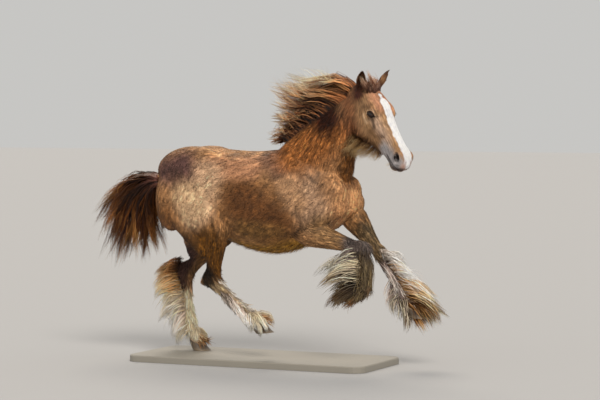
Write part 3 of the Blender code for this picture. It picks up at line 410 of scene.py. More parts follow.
def mesh_of(name: str, surface: Surface, finish: Finish | None = None, tint: Array | None = None,
            places: Array | None = None, soft: bool = True) -> Object:
    """Makes a mesh object of a surface.

    Args:
        name: the object's name.
        surface: its points and triangles.
        finish: how it takes the light.
        tint: linear colour of each point.
        places: place of each point on the unwrap.
        soft: whether it is shaded smooth.

    Returns:
        The object, linked to the scene.
    """
    mesh = bpy.data.meshes.new(name)
    count, faces = len(surface.points), len(surface.triangles)
    mesh.vertices.add(count)
    mesh.vertices.foreach_set("co", surface.points.astype(np.float32).ravel())
    mesh.loops.add(faces * 3)
    mesh.loops.foreach_set("vertex_index", surface.triangles.astype(np.int32).ravel())
    mesh.polygons.add(faces)
    mesh.polygons.foreach_set("loop_start", np.arange(0, faces * 3, 3, dtype=np.int32))
    mesh.update(calc_edges=True)
    mesh.polygons.foreach_set("use_smooth", np.full(faces, soft))
    if tint is not None:
        colour = mesh.attributes.new(TINT, "FLOAT_COLOR", "POINT")
        colour.data.foreach_set("color", np.c_[tint, np.ones(count)].astype(np.float32).ravel())
    if places is not None:
        layer = mesh.uv_layers.new(name=BAKE_MAP)
        layer.data.foreach_set("uv", places[surface.triangles.ravel()].astype(np.float32).ravel())
    if finish:
        mesh.materials.append(finish.material())
    return linked(name, mesh)


def surface_of(obj: Object) -> Surface:
    """The points and triangles of an object with its modifiers applied.

    Args:
        obj: a mesh object, which is removed.

    Returns:
        Its surface.
    """
    graph = bpy.context.evaluated_depsgraph_get()
    mesh = bpy.data.meshes.new_from_object(obj.evaluated_get(graph))
    mesh.calc_loop_triangles()
    points = np.zeros(len(mesh.vertices) * 3)
    mesh.vertices.foreach_get("co", points)
    triangles = np.zeros(len(mesh.loop_triangles) * 3, np.int32)
    mesh.loop_triangles.foreach_get("vertices", triangles)
    bpy.data.objects.remove(obj, do_unlink=True)
    bpy.data.meshes.remove(mesh)
    return Surface(points.reshape(-1, 3), triangles.reshape(-1, 3))


def melted(surface: Surface, voxel: float, softness: int) -> Surface:
    """Melts overlapping surfaces into one and softens it.

    Args:
        surface: closed surfaces that overlap.
        voxel: size of the finest form kept.
        softness: rounds of smoothing.

    Returns:
        One closed surface.
    """
    obj = mesh_of("melt", surface)
    melt = obj.modifiers.new("melt", "REMESH")
    melt.mode = "VOXEL"
    melt.voxel_size = voxel
    soften = obj.modifiers.new("soften", "SMOOTH")
    soften.factor = 0.5
    soften.iterations = softness
    return surface_of(obj)


def thinned(surface: Surface, budget: int, care: Array) -> Surface:
    """Reduces a surface to about a number of triangles.

    Args:
        surface: the surface.
        budget: triangles to keep.
        care: for each point, 0 where it may be thinned freely and 1 where it is kept.

    Returns:
        The thinned surface.
    """
    obj = mesh_of("thin", surface)
    group = obj.vertex_groups.new(name="plain")
    steps = np.clip(np.round((1 - care) * 10), 0, 10).astype(int)
    for step in range(11):
        which = np.nonzero(steps == step)[0]
        if len(which):
            group.add(which.tolist(), step / 10, "REPLACE")
    reduce = obj.modifiers.new("reduce", "DECIMATE")
    reduce.ratio = budget / len(surface.triangles)
    reduce.vertex_group = "plain"
    reduce.vertex_group_factor = 1.0
    reduce.use_collapse_triangulate = True
    return surface_of(obj)


def refined(surface: Surface, chosen: Array) -> Surface:
    """Cuts the edges of chosen triangles in two, so that finer forms fit there.

    Args:
        surface: the surface.
        chosen: true for each triangle to refine.

    Returns:
        The surface with four small triangles for each chosen one.
    """
    obj = mesh_of("fine", surface)
    work = bmesh.new()
    work.from_mesh(obj.data)
    work.faces.ensure_lookup_table()
    edges = {edge for i in np.nonzero(chosen)[0] for edge in work.faces[i].edges}
    bmesh.ops.subdivide_edges(work, edges=list(edges), cuts=1, use_grid_fill=True)
    bmesh.ops.triangulate(work, faces=work.faces)
    work.to_mesh(obj.data)
    work.free()
    return surface_of(obj)


def unwrapped(points: Array, normals: Array) -> Array:
    """Places on an unwrap of the body: its two sides, each with an outer and an inner face.

    Args:
        points: places on the body.
        normals: its outward directions there.

    Returns:
        Two coordinates between 0 and 1 for each place.
    """
    side = (points[:, 1] > 0).astype(float)
    face = (normals[:, 1] > 0).astype(float)
    across = (points[:, 0] + UNWRAP_LENGTH / 2) / UNWRAP_LENGTH
    upwards = points[:, 2] / UNWRAP_LENGTH
    edge = (0.5 - UNWRAP_SHARE) / 2
    return np.stack([
        edge + UNWRAP_SHARE * np.clip(across, 0, 1) + 0.5 * face,
        edge + UNWRAP_SHARE * np.clip(upwards, 0, 1) + 0.5 * side,
    ], 1)


# ---- the form


@dataclass(frozen=True)
class Trunk:
    """The barrel with its croup, buttocks, shoulders and breast."""

    # from the tail to the breast: x, top, bottom, height of the widest part, half width
    sections: tuple[tuple[float, ...], ...] = (
        (-0.76, 1.15, 0.96, 1.06, 0.06),
        (-0.735, 1.195, 0.87, 1.05, 0.14),
        (-0.68, 1.245, 0.8, 1.05, 0.2),
        (-0.6, 1.285, 0.76, 1.06, 0.24),
        (-0.48, 1.308, 0.74, 1.06, 0.262),
        (-0.35, 1.302, 0.73, 1.02, 0.258),
        (-0.22, 1.292, 0.69, 0.98, 0.268),
        (-0.08, 1.29, 0.655, 0.955, 0.285),
        (0.05, 1.305, 0.648, 0.95, 0.272),
        (0.18, 1.315, 0.68, 0.96, 0.235),
        (0.3, 1.3, 0.735, 0.985, 0.2),
        (0.4, 1.25, 0.8, 1.01, 0.175),
        (0.47, 1.17, 0.86, 1.01, 0.14),
        (0.515, 1.09, 0.92, 1.0, 0.08),
    )

    def surfaces(self) -> list[Surface]:
        """The overlapping masses of the trunk."""
        table = np.array(self.sections)
        at = np.linspace(table[0, 0], table[-1, 0], 40)
        made = [loft(np.array([
            oval(vec(x, 0, middle), vec(0, 1, 0), vec(0, 0, 1), half,
                 top - middle, middle - bottom, 2.15, 32)
            for x, (top, bottom, middle, half) in zip(at, spline(table[:, 0], table[:, 1:], at))
        ]))]
        for side in SIDES:
            made += [
                ellipsoid((-0.52, side * 0.115, 1.17), (0.24, 0.15, 0.15), (1, 0, 0.06)),
                ellipsoid((-0.655, side * 0.13, 0.985), (0.11, 0.118, 0.215)),
                ellipsoid((0.24, side * 0.11, 1.13), (0.25, 0.095, 0.14), (0.62, side * 0.16, -0.76)),
                ellipsoid((0.29, side * 0.14, 0.95), (0.17, 0.09, 0.14), (0.5, 0, -0.86)),
                ellipsoid((0.43, side * 0.12, 1.04), (0.11, 0.08, 0.11)),
                ellipsoid((0.452, side * 0.085, 0.985), (0.088, 0.08, 0.12)),
            ]
        return made


@dataclass(frozen=True)
class Neck:
    """The neck, deep at the shoulder and thickest below its middle."""

    # from the shoulder to the poll: crest x, y, z, throat x, y, z, half width
    sections: tuple[tuple[float, ...], ...] = (
        (0.02, 0.0, 1.28, 0.47, 0.0, 1.02, 0.165),
        (0.11, 0.0, 1.372, 0.51, 0.0, 1.11, 0.15),
        (0.24, -0.004, 1.468, 0.538, -0.008, 1.215, 0.122),
        (0.37, -0.016, 1.548, 0.566, -0.024, 1.32, 0.102),
        (0.49, -0.032, 1.618, 0.598, -0.042, 1.415, 0.09),
        (0.6, -0.05, 1.68, 0.64, -0.058, 1.49, 0.082),
    )

    def surfaces(self) -> list[Surface]:
        """The neck as one loft."""
        rings = []
        knots = np.linspace(0, 1, len(self.sections))
        for row in spline(knots, np.array(self.sections), np.linspace(0, 1, 22)):
            crest, throat = row[0:3], row[3:6]
            depth = float(np.linalg.norm(crest - throat))
            upwards = (crest - throat) / depth
            across = unit(vec(0, 1, 0) - upwards * upwards[1])
            rings.append(oval(throat + upwards * depth * 0.42, across, upwards, row[6],
                              depth * 0.58, depth * 0.42, 2.0, 28))
        return [loft(np.array(rings))]


@dataclass(frozen=True)
class Head:
    """The head and its own frame: down the face, to its left, and out of the face."""

    poll: Point = (0.668, -0.062, 1.722)
    yaw: float = math.radians(-19.0)
    pitch: float = math.radians(54.0)
    eye_radius: float = 0.0235
    eye_spot: Point = (0.217, 0.082, -0.044)
    # distance from the poll, top, (side, height) of four points down the side, bottom
    sections: tuple[tuple, ...] = (
        (-0.02, -0.04, (0.045, -0.05), (0.062, -0.095), (0.055, -0.145), (0.035, -0.18), -0.195),
        (0.04, -0.005, (0.05, -0.015), (0.078, -0.075), (0.076, -0.16), (0.045, -0.215), -0.225),
        (0.11, 0.01, (0.06, 0.002), (0.088, -0.06), (0.086, -0.164), (0.05, -0.244), -0.25),
        (0.19, 0.014, (0.072, 0.004), (0.096, -0.05), (0.088, -0.166), (0.05, -0.256), -0.26),
        (0.26, 0.008, (0.06, -0.004), (0.084, -0.05), (0.08, -0.146), (0.04, -0.244), -0.247),
        (0.33, 0.0, (0.046, -0.01), (0.066, -0.052), (0.062, -0.124), (0.034, -0.208), -0.212),
        (0.4, -0.004, (0.038, -0.012), (0.053, -0.052), (0.05, -0.108), (0.03, -0.17), -0.174),
        (0.46, -0.006, (0.037, -0.014), (0.054, -0.05), (0.05, -0.1), (0.03, -0.146), -0.15),
        (0.52, -0.008, (0.042, -0.016), (0.062, -0.052), (0.056, -0.098), (0.032, -0.138), -0.144),
        (0.57, -0.022, (0.038, -0.03), (0.055, -0.06), (0.05, -0.094), (0.028, -0.124), -0.128),
        (0.598, -0.046, (0.022, -0.05), (0.034, -0.068), (0.03, -0.088), (0.016, -0.1), -0.102),
    )
    # share of an ear's length, half width, and how far its cup is hollowed
    ear_sections: tuple[Point, ...] = (
        (0.0, 0.022, 0.3),
        (0.14, 0.027, 0.5),
        (0.32, 0.031, 0.72),
        (0.52, 0.03, 0.76),
        (0.72, 0.023, 0.7),
        (0.9, 0.012, 0.58),
        (1.0, 0.003, 0.4),
    )

    def axes(self) -> tuple[Array, Array, Array]:
        """The directions along the face, out of it, and to its left."""
        along = vec(
            math.cos(self.pitch) * math.cos(self.yaw),
            math.cos(self.pitch) * math.sin(self.yaw),
            -math.sin(self.pitch),
        )
        left = vec(-math.sin(self.yaw), math.cos(self.yaw), 0)
        return along, np.cross(along, left), left

    def place(self, distance: Any, side: Any, height: Any) -> Array:
        """The place that far down the face, to its left, and out of it."""
        along, out, left = self.axes()
        return (
            np.array(self.poll)
            + np.multiply.outer(distance, along)
            + np.multiply.outer(side, left)
            + np.multiply.outer(height, out)
        )

    def measures(self, points: Array) -> Array:
        """How far down the face, to its left and out of it each place is."""
        along, out, left = self.axes()
        return (points - np.array(self.poll)) @ np.stack([along, left, out], 1)

    def nostril(self, side: int, reach: float, height: float = -0.052) -> Array:
        """A place at a nostril, that far from the middle of the face and out of it."""
        return self.place(0.536, side * reach, height)

    def ear_ends(self, side: int) -> tuple[Array, Array]:
        """The base and the tip of an ear, side being 1 for the left one."""
        if side < 0:
            return self.place(0.022, -0.068, -0.036), self.place(-0.028, -0.1, 0.064)
        return self.place(0.04, 0.074, -0.016), self.place(-0.022, 0.118, 0.088)

    def ear_axes(self, side: int) -> tuple[Array, Array, Array]:
        """The directions up an ear, out of its cup, and across it."""
        base, tip = self.ear_ends(side)
        along, _, left = self.axes()
        axis = unit(tip - base)
        facing = along * 0.75 + left * side * 0.55
        facing = unit(facing - axis * (facing @ axis))
        return axis, facing, np.cross(axis, facing)

    def ear(self, side: int) -> Surface:
        """A pointed leaf rolled into a cup that opens forwards and outwards.

        Args:
            side: 1 for the left ear, -1 for the right one.

        Returns:
            The closed surface of the ear and its root.
        """
        base, tip = self.ear_ends(side)
        axis, facing, wide = self.ear_axes(side)
        length = float(np.linalg.norm(tip - base))
        outer = np.radians(np.linspace(-135, 135, 21))
        inner = np.radians(np.linspace(115, -115, 15))
        rings = []
        table = np.array(self.ear_sections)
        for share in np.linspace(-0.22, 1, 26):
            width, hollow = spline(table[:, 0], table[:, 1:], np.array([max(share, 0)]))[0]
            hollow = hollow if share > 0.02 else 0.3
            centre = base + axis * length * share
            rings.append([
                centre + (wide * math.sin(a) - facing * math.cos(a) * 0.85) * width * size
                for turns, size in ((outer, 1), (inner, hollow)) for a in turns
            ])
        return loft(np.array(rings))

    def surfaces(self) -> list[Surface]:
        """The skull with its jowls, brows, face ridges, nostrils, lips, chin and ears."""
        along, _, left = self.axes()
        flat = np.array([
            [down, top, *np.ravel(sides), bottom] for down, top, *sides, bottom in self.sections
        ])
        at = np.linspace(flat[0, 0], flat[-1, 0], 60)
        rings = []
        for distance, row in zip(at, spline(flat[:, 0], flat[:, 1:], at)):
            sides = [(row[1 + 2 * k], row[2 + 2 * k]) for k in range(4)]
            loop = [(0.0, row[0]), *sides, (0.0, row[9]), *[(-y, v) for y, v in reversed(sides)]]
            closed = np.array(loop + [loop[0]])
            fine = spline(np.arange(len(closed)), closed, np.arange(0, len(loop), 0.2))
            rings.append(self.place(np.full(len(fine), distance), fine[:, 0], fine[:, 1]))
        made = [loft(np.array(rings))]
        masses: list[tuple[Point, Point]] = [
            ((0.578, 0, -0.068), (0.03, 0.042, 0.036)),
            ((0.566, 0, -0.116), (0.03, 0.032, 0.015)),
            ((0.535, 0, -0.136), (0.038, 0.034, 0.024)),
        ]
        for side in SIDES:
            masses += [
                ((0.2, side * 0.072, -0.016), (0.06, 0.024, 0.026)),
                ((0.217, side * 0.078, -0.046), (0.036, 0.022, 0.03)),
                ((0.185, side * 0.058, -0.16), (0.112, 0.04, 0.092)),
                ((0.3, side * 0.06, -0.062), (0.08, 0.014, 0.012)),
                ((0.528, side * 0.048, -0.044), (0.04, 0.022, 0.03)),
            ]
            made.append(self.ear(side))
        return made + [ellipsoid(self.place(*centre), radii, along, left) for centre, radii in masses]


@dataclass(frozen=True)
class Leg:
    """One leg, by the places of its joints from top to toe."""

    name: str
    joints: dict[str, Point]
    hoof_reach: float = 0.08
    hoof_drop: float = 0.072

    @property
    def fore(self) -> bool:
        """Whether it is a fore leg."""
        return self.name.startswith("fore")

    def at(self, joint: str) -> Array:
        """The place of a joint."""
        return np.array(self.joints[joint], float)

    def thigh(self) -> list[Surface]:
        """The heavy upper part, which lies in the trunk."""
        if self.fore:
            return [limb(self.at("shoulder"), self.at("elbow"), (
                (-0.2, 0.06, 0.06, 0.05), (0.2, 0.09, 0.1, 0.08),
                (0.8, 0.085, 0.11, 0.08), (1.3, 0.05, 0.07, 0.05)))]
        hock, stifle, hip = self.at("hock"), self.at("stifle"), self.at("hip")
        back = hock + (stifle - hock) * 0.42 - vec(0.06, 0, 0)
        rump = hip + vec(-0.075, 0, -0.06)
        return [
            ellipsoid((hip + stifle + rump + back) / 4, (0.125, 0.098, 0.15)),
            limb(hip, stifle, (
                (-0.1, 0.1, 0.1, 0.08), (0.2, 0.16, 0.17, 0.11), (0.65, 0.13, 0.16, 0.105),
                (1.0, 0.085, 0.13, 0.085), (1.15, 0.04, 0.09, 0.05))),
            limb(rump, back, (
                (-0.05, 0.07, 0.06, 0.08), (0.25, 0.11, 0.08, 0.1),
                (0.65, 0.11, 0.058, 0.08), (1.0, 0.08, 0.03, 0.05))),
        ]

    def shank(self) -> list[Surface]:
        """The lower part, from the elbow or stifle to the coronet."""
        fetlock, coronet = self.at("fetlock"), self.at("coronet")
        if self.fore:
            elbow, knee = self.at("elbow"), self.at("knee")
            made = [
                limb(elbow, knee, (
                    (-0.12, 0.04, 0.055, 0.05), (0.05, 0.085, 0.082, 0.074), (0.28, 0.08, 0.074, 0.07),
                    (0.55, 0.06, 0.058, 0.052), (0.82, 0.043, 0.045, 0.04), (1.0, 0.046, 0.042, 0.043),
                    (1.08, 0.03, 0.03, 0.03))),
                ellipsoid(knee, (0.06, 0.045, 0.05), fetlock - elbow),
                limb(knee, fetlock, (
                    (-0.05, 0.042, 0.044, 0.04), (0.14, 0.04, 0.044, 0.037), (0.35, 0.03, 0.038, 0.029),
                    (0.7, 0.029, 0.037, 0.028), (0.92, 0.035, 0.044, 0.035), (1.06, 0.03, 0.038, 0.031))),
            ]
        else:
            stifle, hock = self.at("stifle"), self.at("hock")
            down = unit(fetlock - hock)
            rear = vec(down[2], 0, -down[0])
            heel = hock - down * 0.052 + rear * 0.052
            made = [
                limb(stifle, hock, (
                    (-0.15, 0.06, 0.08, 0.06), (0.05, 0.085, 0.12, 0.085), (0.3, 0.068, 0.1, 0.072),
                    (0.58, 0.05, 0.07, 0.052), (0.82, 0.04, 0.056, 0.04), (1.0, 0.046, 0.05, 0.044),
                    (1.1, 0.03, 0.036, 0.03))),
                ellipsoid(hock, (0.062, 0.045, 0.054), fetlock - stifle),
                limb(stifle + (hock - stifle) * 0.55 + rear * 0.03, heel, (
                    (0.0, 0.03, 0.024, 0.022), (0.5, 0.03, 0.02, 0.018),
                    (0.9, 0.034, 0.022, 0.022), (1.08, 0.03, 0.016, 0.018))),
                limb(heel, hock + down * 0.04 + rear * 0.012, (
                    (-0.15, 0.018, 0.018, 0.018), (0.15, 0.024, 0.024, 0.024), (1.0, 0.026, 0.024, 0.026))),
                limb(hock, fetlock, (
                    (-0.06, 0.042, 0.048, 0.04), (0.1, 0.044, 0.048, 0.04), (0.3, 0.033, 0.038, 0.031),
                    (0.7, 0.031, 0.037, 0.029), (0.93, 0.036, 0.045, 0.036), (1.06, 0.032, 0.038, 0.032))),
            ]
        return made + [
            ellipsoid(fetlock, (0.044, 0.04, 0.042), coronet - fetlock),
            limb(fetlock, coronet, (
                (-0.1, 0.036, 0.04, 0.036), (0.45, 0.034, 0.038, 0.036),
                (1.0, 0.048, 0.048, 0.05), (1.4, 0.05, 0.05, 0.052))),
        ]


LEGS = (
    Leg("fore_right", {
        "shoulder": (0.43, -0.15, 0.99), "elbow": (0.285, -0.165, 0.795), "knee": (0.668, -0.165, 0.703),
        "fetlock": (0.674, -0.157, 0.456), "coronet": (0.588, -0.152, 0.415),
        "toe": (0.482, -0.15, 0.372)}),
    Leg("fore_left", {
        "shoulder": (0.45, 0.15, 1.02), "elbow": (0.445, 0.155, 0.9), "knee": (0.655, 0.15, 0.65),
        "fetlock": (0.815, 0.142, 0.405), "coronet": (0.885, 0.138, 0.337),
        "toe": (0.962, 0.136, 0.27)}),
    Leg("hind_right", {
        "hip": (-0.585, -0.14, 1.04), "stifle": (-0.3, -0.2, 0.83), "hock": (-0.352, -0.15, 0.472),
        "fetlock": (-0.125, -0.13, 0.278), "coronet": (-0.045, -0.128, 0.228),
        "toe": (0.045, -0.126, 0.16)}),
    Leg("hind_left", {
        "hip": (-0.6, 0.14, 1.04), "stifle": (-0.455, 0.19, 0.765), "hock": (-0.705, 0.14, 0.478),
        "fetlock": (-0.657, 0.128, 0.15), "coronet": (-0.612, 0.127, 0.072),
        "toe": (-0.532, 0.126, 0.0)}),
)


# ---- regions, markings with painted light and shade, and lie


class Frame(Enum):
    """Which measures a region is given in."""

    BODY = "x, y, z"
    HEAD = "down the face, to its left, out of it"


HEAD = Head()


@dataclass(frozen=True)
class Region:
    """A soft-edged space round a line, on one or both sides of the horse."""

    start: Point
    end: Point
    radius: float
    softness: float = 0.6
    frame: Frame = Frame.BODY
    both: bool = True

    def weight(self, points: Array) -> Array:
        """How much of the region each place is in.

        Args:
            points: places in the horse's frame.

        Returns:
            Values from 0 outside to 1 inside.
        """
        at = HEAD.measures(points) if self.frame is Frame.HEAD else points
        full, none = self.radius * (1 - self.softness), self.radius * (1 + self.softness * 0.4)
        return 1 - smooth(full, none, near_line(at, self.start, self.end, self.both))


Layer = tuple[Region, Array, float]


def ear_region(side: int, radius: float, softness: float) -> Region:
    """The space round one ear, side being 1 for the left one."""
    base, tip = HEAD.ear_ends(side)
    return Region(tuple(base), tuple(tip), radius, softness, both=False)


def paint(code: str, start: Point, end: Point, radius: float, strength: float,
          softness: float = 0.6, frame: Frame = Frame.BODY, both: bool = True) -> Layer:
    """A region with its colour and strength."""
    return Region(start, end, radius, softness, frame, both), linear(code), strength


def layered(points: Array, base: Array, layers: Sequence[Layer], wander: float = 0) -> Array:
    """Values that change from region to region, each region laid over those before it.

    Args:
        points: places in the horse's frame.
        base: the value outside every region.
        layers: region, value and strength, in order.
        wander: how raggedly the regions' edges run, in metres.

    Returns:
        One value for each place.
    """
    value = np.tile(np.asarray(base, float), (len(points), 1))
    moved = points
    if wander:
        moved = points + wander * np.stack([ripple(points, 0.05, seed) for seed in (3, 5, 7)], 1)
    for region, over, strength in layers:
        value = blend(value, np.asarray(over, float), region.weight(moved)[:, None] * strength)
    return value


@dataclass(frozen=True)
class MarkingsAndPaintedLight:
    """The colours of the horse: a sooty golden coat, a white blaze and pale feather, with painted highlights
    and painted shade laid among them.
    """

    base: str = "#b3855a"

    def layers(self) -> list[Layer]:
        """The coat's colour regions and its painted light and shade, in the order that they are laid on."""
        body = (
            # colour, start, end, radius, strength
            ("#8c6138", (-0.2, 0.24, 1.02), (0.14, 0.22, 0.88), 0.25, 0.85),
            ("#673d1a", (-0.1, 0.27, 0.99), (0.1, 0.26, 0.84), 0.16, 0.85),
            # painted highlight: the top of the back lighter, where the light falls on it from above
            ("#c08f64", (-0.45, 0.05, 1.31), (0.1, 0.05, 1.32), 0.12, 0.85),
            ("#c7906c", (-0.3, 0.2, 1.19), (-0.06, 0.2, 1.2), 0.11, 0.8),
            # painted highlight: the flank and thigh lighter where the coat's sheen catches the light
            ("#d2ab88", (-0.36, 0.24, 1.12), (-0.42, 0.26, 0.9), 0.13, 0.95),
            ("#dfb88f", (-0.5, 0.22, 1.02), (-0.44, 0.24, 0.93), 0.12, 0.85),
            ("#5d4042", (-0.64, 0.17, 1.16), (-0.52, 0.2, 1.19), 0.125, 0.92),
            # painted highlight along the top of the croup
            ("#c9a07c", (-0.66, 0.1, 1.28), (-0.48, 0.12, 1.31), 0.05, 0.8),
            # darker rear of the rump: partly the coat's own colour, partly painted shade where it turns away
            # from the light
            ("#7e4f24", (-0.74, 0.12, 1.02), (-0.64, 0.17, 0.84), 0.13, 0.85),
            ("#4e2f08", (-0.5, 0.19, 0.69), (-0.36, 0.2, 0.7), 0.14, 0.95),
            ("#af7f27", (-0.2, 0.08, 0.68), (0.25, 0.06, 0.7), 0.12, 0.8),
            ("#ac896d", (0.28, 0.2, 1.08), (0.36, 0.18, 0.92), 0.15, 0.85),
            ("#73554a", (0.04, 0.14, 1.3), (0.12, 0.16, 1.17), 0.1, 0.8),
            # bright breast: partly the coat's own gold, partly painted light where it faces the key light
            ("#eead77", (0.46, 0.08, 1.04), (0.48, 0.07, 0.92), 0.13, 0.85),
            ("#a6662f", (0.22, 0.1, 1.28), (0.6, 0.0, 1.56), 0.2, 0.9),
            ("#290803", (0.4, 0.08, 1.51), (0.62, -0.03, 1.62), 0.14, 0.95),
            ("#6f4316", (0.6, 0.0, 1.42), (0.54, 0.03, 1.16), 0.11, 0.9),
            ("#2c1a14", (0.02, 0.0, 1.34), (0.42, 0.0, 1.6), 0.075, 0.95),
            # darker along the underline: partly the coat's dark belly line, partly painted shade under the
            # belly
            ("#4a300c", (-0.15, 0.0, 0.615), (0.25, 0.0, 0.62), 0.052, 0.75),
            # painted shade in the groove behind the triceps
            ("#4d3018", (0.225, 0.25, 1.02), (0.295, 0.24, 0.8), 0.022, 0.5),
            ("#cf9f74", (0.19, 0.25, 1.1), (0.26, 0.25, 0.97), 0.08, 0.8),
            ("#765438", (0.4, 0.17, 1.12), (0.46, 0.15, 1.03), 0.07, 0.42),
            ("#3a1c0e", (0.575, -0.06, 1.5), (0.58, -0.06, 1.34), 0.05, 0.8),
            ("#8a6436", (-0.1, 0.27, 0.79), (0.14, 0.26, 0.77), 0.085, 0.8),
            # painted shade in the fold of the elbow
            ("#33200f", (0.2, 0.22, 0.77), (0.32, 0.22, 0.84), 0.028, 0.65),
            # painted shade in the flank fold
            ("#3a2614", (-0.28, 0.24, 0.74), (-0.315, 0.25, 0.86), 0.03, 0.65),
        )
        return [paint(*row) for row in body] + self.leg_layers() + self.head_layers()

    def leg_layers(self) -> list[Layer]:
        """The dark points of the legs and their white marks."""
        rows = (
            # colour, start, end, radius
            ("#96724b", (0.4, -0.17, 0.82), (0.56, -0.17, 0.76), 0.11),
            ("#5d5350", (0.6, -0.165, 0.73), (0.68, -0.165, 0.7), 0.085),
            ("#68563f", (0.66, -0.165, 0.64), (0.66, -0.16, 0.46), 0.075),
            ("#936c43", (0.48, 0.155, 0.88), (0.52, 0.155, 0.82), 0.11),
            ("#715d41", (0.56, 0.15, 0.78), (0.66, 0.15, 0.66), 0.09),
            ("#d5c8bc", (0.7, 0.12, 0.665), (0.745, 0.125, 0.605), 0.036),
            ("#9d8c88", (0.7, 0.148, 0.58), (0.8, 0.142, 0.44), 0.075),
            ("#f0dfcf", (0.78, 0.142, 0.52), (0.88, 0.14, 0.4), 0.055),
            ("#72470c", (-0.34, -0.19, 0.78), (-0.34, -0.16, 0.58), 0.12),
            ("#120a04", (-0.385, -0.155, 0.57), (-0.375, -0.15, 0.42), 0.072),
            ("#b39a78", (-0.32, -0.15, 0.44), (-0.13, -0.13, 0.29), 0.062),
            ("#e0d6ca", (-0.285, -0.15, 0.475), (-0.085, -0.13, 0.3), 0.034),
            ("#6d4a24", (-0.5, 0.175, 0.72), (-0.6, 0.16, 0.62), 0.12),
            ("#452d2a", (-0.655, 0.15, 0.66), (-0.75, 0.14, 0.43), 0.082),
            ("#89643f", (-0.6, 0.155, 0.56), (-0.655, 0.14, 0.48), 0.045),
            ("#f8e4c0", (-0.69, 0.14, 0.33), (-0.66, 0.128, 0.12), 0.08),
        )
        return [paint(*row, 0.95, 0.5, both=False) for row in rows]

    def head_layers(self) -> list[Layer]:
        """The face: tan cheeks, a white blaze, a grey muzzle with pink lips, and painted highlight and shade
        round the eyes, the facial crest, the nostrils and the mouth.
        """
        rows = (
            # colour, start, end, radius, strength, softness
            ("#a78059", (0.05, 0.06, -0.1), (0.4, 0.03, -0.1), 0.16, 1.0, 0.5),
            ("#784729", (0.02, 0.08, -0.15), (0.2, 0.07, -0.22), 0.09, 0.85, 0.9),
            ("#7a5636", (0.25, 0.04, -0.22), (0.4, 0.03, -0.16), 0.055, 0.7, 0.9),
            ("#c48a6c", (0.09, 0.03, 0.0), (0.2, 0.05, 0.0), 0.048, 0.8, 0.9),
            ("#3d0e02", (-0.02, 0.07, -0.05), (0.06, 0.075, -0.065), 0.055, 0.95, 0.8),
            ("#c4a58e", (0.26, 0.06, -0.05), (0.42, 0.05, -0.07), 0.045, 0.85, 0.8),
            # painted highlight on the brow over the eye
            ("#d2a98a", (0.215, 0.1, -0.022), (0.245, 0.1, -0.03), 0.02, 0.6, 0.8),
            # painted shade in the hollow over the eye
            ("#523528", (0.15, 0.09, -0.07), (0.165, 0.09, -0.034), 0.03, 0.5, 1.0),
            ("#2b1c16", (0.248, 0.1, -0.05), (0.294, 0.09, -0.084), 0.019, 0.95, 0.9),
            ("#e0bd98", (0.185, 0.1, -0.09), (0.235, 0.09, -0.098), 0.016, 0.6, 0.9),
            # painted shade under the facial crest
            ("#6b482c", (0.3, 0.08, -0.128), (0.368, 0.06, -0.082), 0.026, 0.5, 1.0),
            ("#3c2513", (0.27, 0.06, -0.236), (0.375, 0.05, -0.176), 0.03, 0.7, 1.0),
            ("#aaa4a4", (0.445, 0.06, -0.118), (0.565, 0.05, -0.08), 0.066, 1.0, 0.6),
            ("#dcc5b8", (0.6, 0.02, -0.06), (0.6, -0.02, -0.06), 0.034, 0.9, 0.7),
            ("#6f6563", (0.5, 0.03, -0.13), (0.57, 0.02, -0.12), 0.03, 0.8, 0.7),
            # painted shade at the front edge of each nostril, running down towards the mouth
            ("#3d2a24", (0.612, 0.022, -0.045), (0.604, 0.01, -0.108), 0.012, 0.8, 0.8),
        )
        made = [paint(*row, Frame.HEAD) for row in rows]
        for side in SIDES:
            base, tip = HEAD.ear_ends(side)
            facing = HEAD.ear_axes(side)[1]
            made.append((ear_region(side, 0.034, 0.5), linear("#462313"), 0.9))
            low, high = base * 0.7 + tip * 0.3 + facing * 0.02, base * 0.3 + tip * 0.7 + facing * 0.016
            made.append(paint("#231713", tuple(low), tuple(high), 0.016, 0.9, 0.6, both=False))
        # the pale rim of the far ear, which is lit from behind
        low, high = HEAD.place(0.084, 0.085, 0.004), HEAD.place(0.0, 0.12, 0.09)
        made.append(paint("#cfa67c", tuple(low), tuple(high), 0.016, 0.85, 0.7, both=False))
        blaze = (
            # start, end, radius
            ((0.115, 0.018, 0.012), (0.17, 0.014, 0.016), 0.017),
            ((0.17, 0.018, 0.016), (0.3, 0.014, 0.006), 0.037),
            ((0.3, 0.01, 0.0), (0.5, 0.006, -0.006), 0.044),
            ((0.5, 0.004, -0.01), (0.585, 0.0, -0.04), 0.036),
        )
        made += [paint("#fbfbff", *row, 1.0, 0.16, Frame.HEAD, both=False) for row in blaze]
        lips = (
            # colour, start, end, radius, strength
            ("#b08a7c", (0.586, 0.034, -0.022), (0.602, 0.03, -0.072), 0.022, 0.8),
            # painted shade along the parting of the lips
            ("#4a3832", (0.604, 0.028, -0.084), (0.566, 0.036, -0.122), 0.017, 0.85),
        )
        return made + [paint(*row, 0.8, Frame.HEAD) for row in lips]

    def streaked(self, points: Array, normals: Array) -> Array:
        """The coat's colour, with broad mottling and the light and dark streaks of clumped hair.

        Args:
            points: places in the horse's frame.
            normals: the skin's outward directions there.

        Returns:
            Linear colours.
        """
        colour = layered(points, linear(self.base), self.layers(), wander=0.004)
        mottle = 1 + 0.11 * ripple(points, 0.045, 21) + 0.09 * ripple(points, 0.17, 22)
        colour = np.clip(colour * mottle[:, None], 0, 1)
        ways = LIE.at(points, normals)
        white = smooth(0.5, 0.85, colour.mean(1))
        strength = np.clip(PILE.at(points)[:, 0] * 24, 0.1, 0.52) * (1 - 0.6 * white)
        fine = streaks(points, ways, 0.0052, 0.03, 24) * 0.85
        fine += streaks(points, ways, 0.01, 0.05, 25) * 0.34
        shade = np.exp(np.clip(fine, -2.2, 2.2) * strength - 0.4 * strength**2)
        return np.clip(colour * shade[:, None], 0, 1)


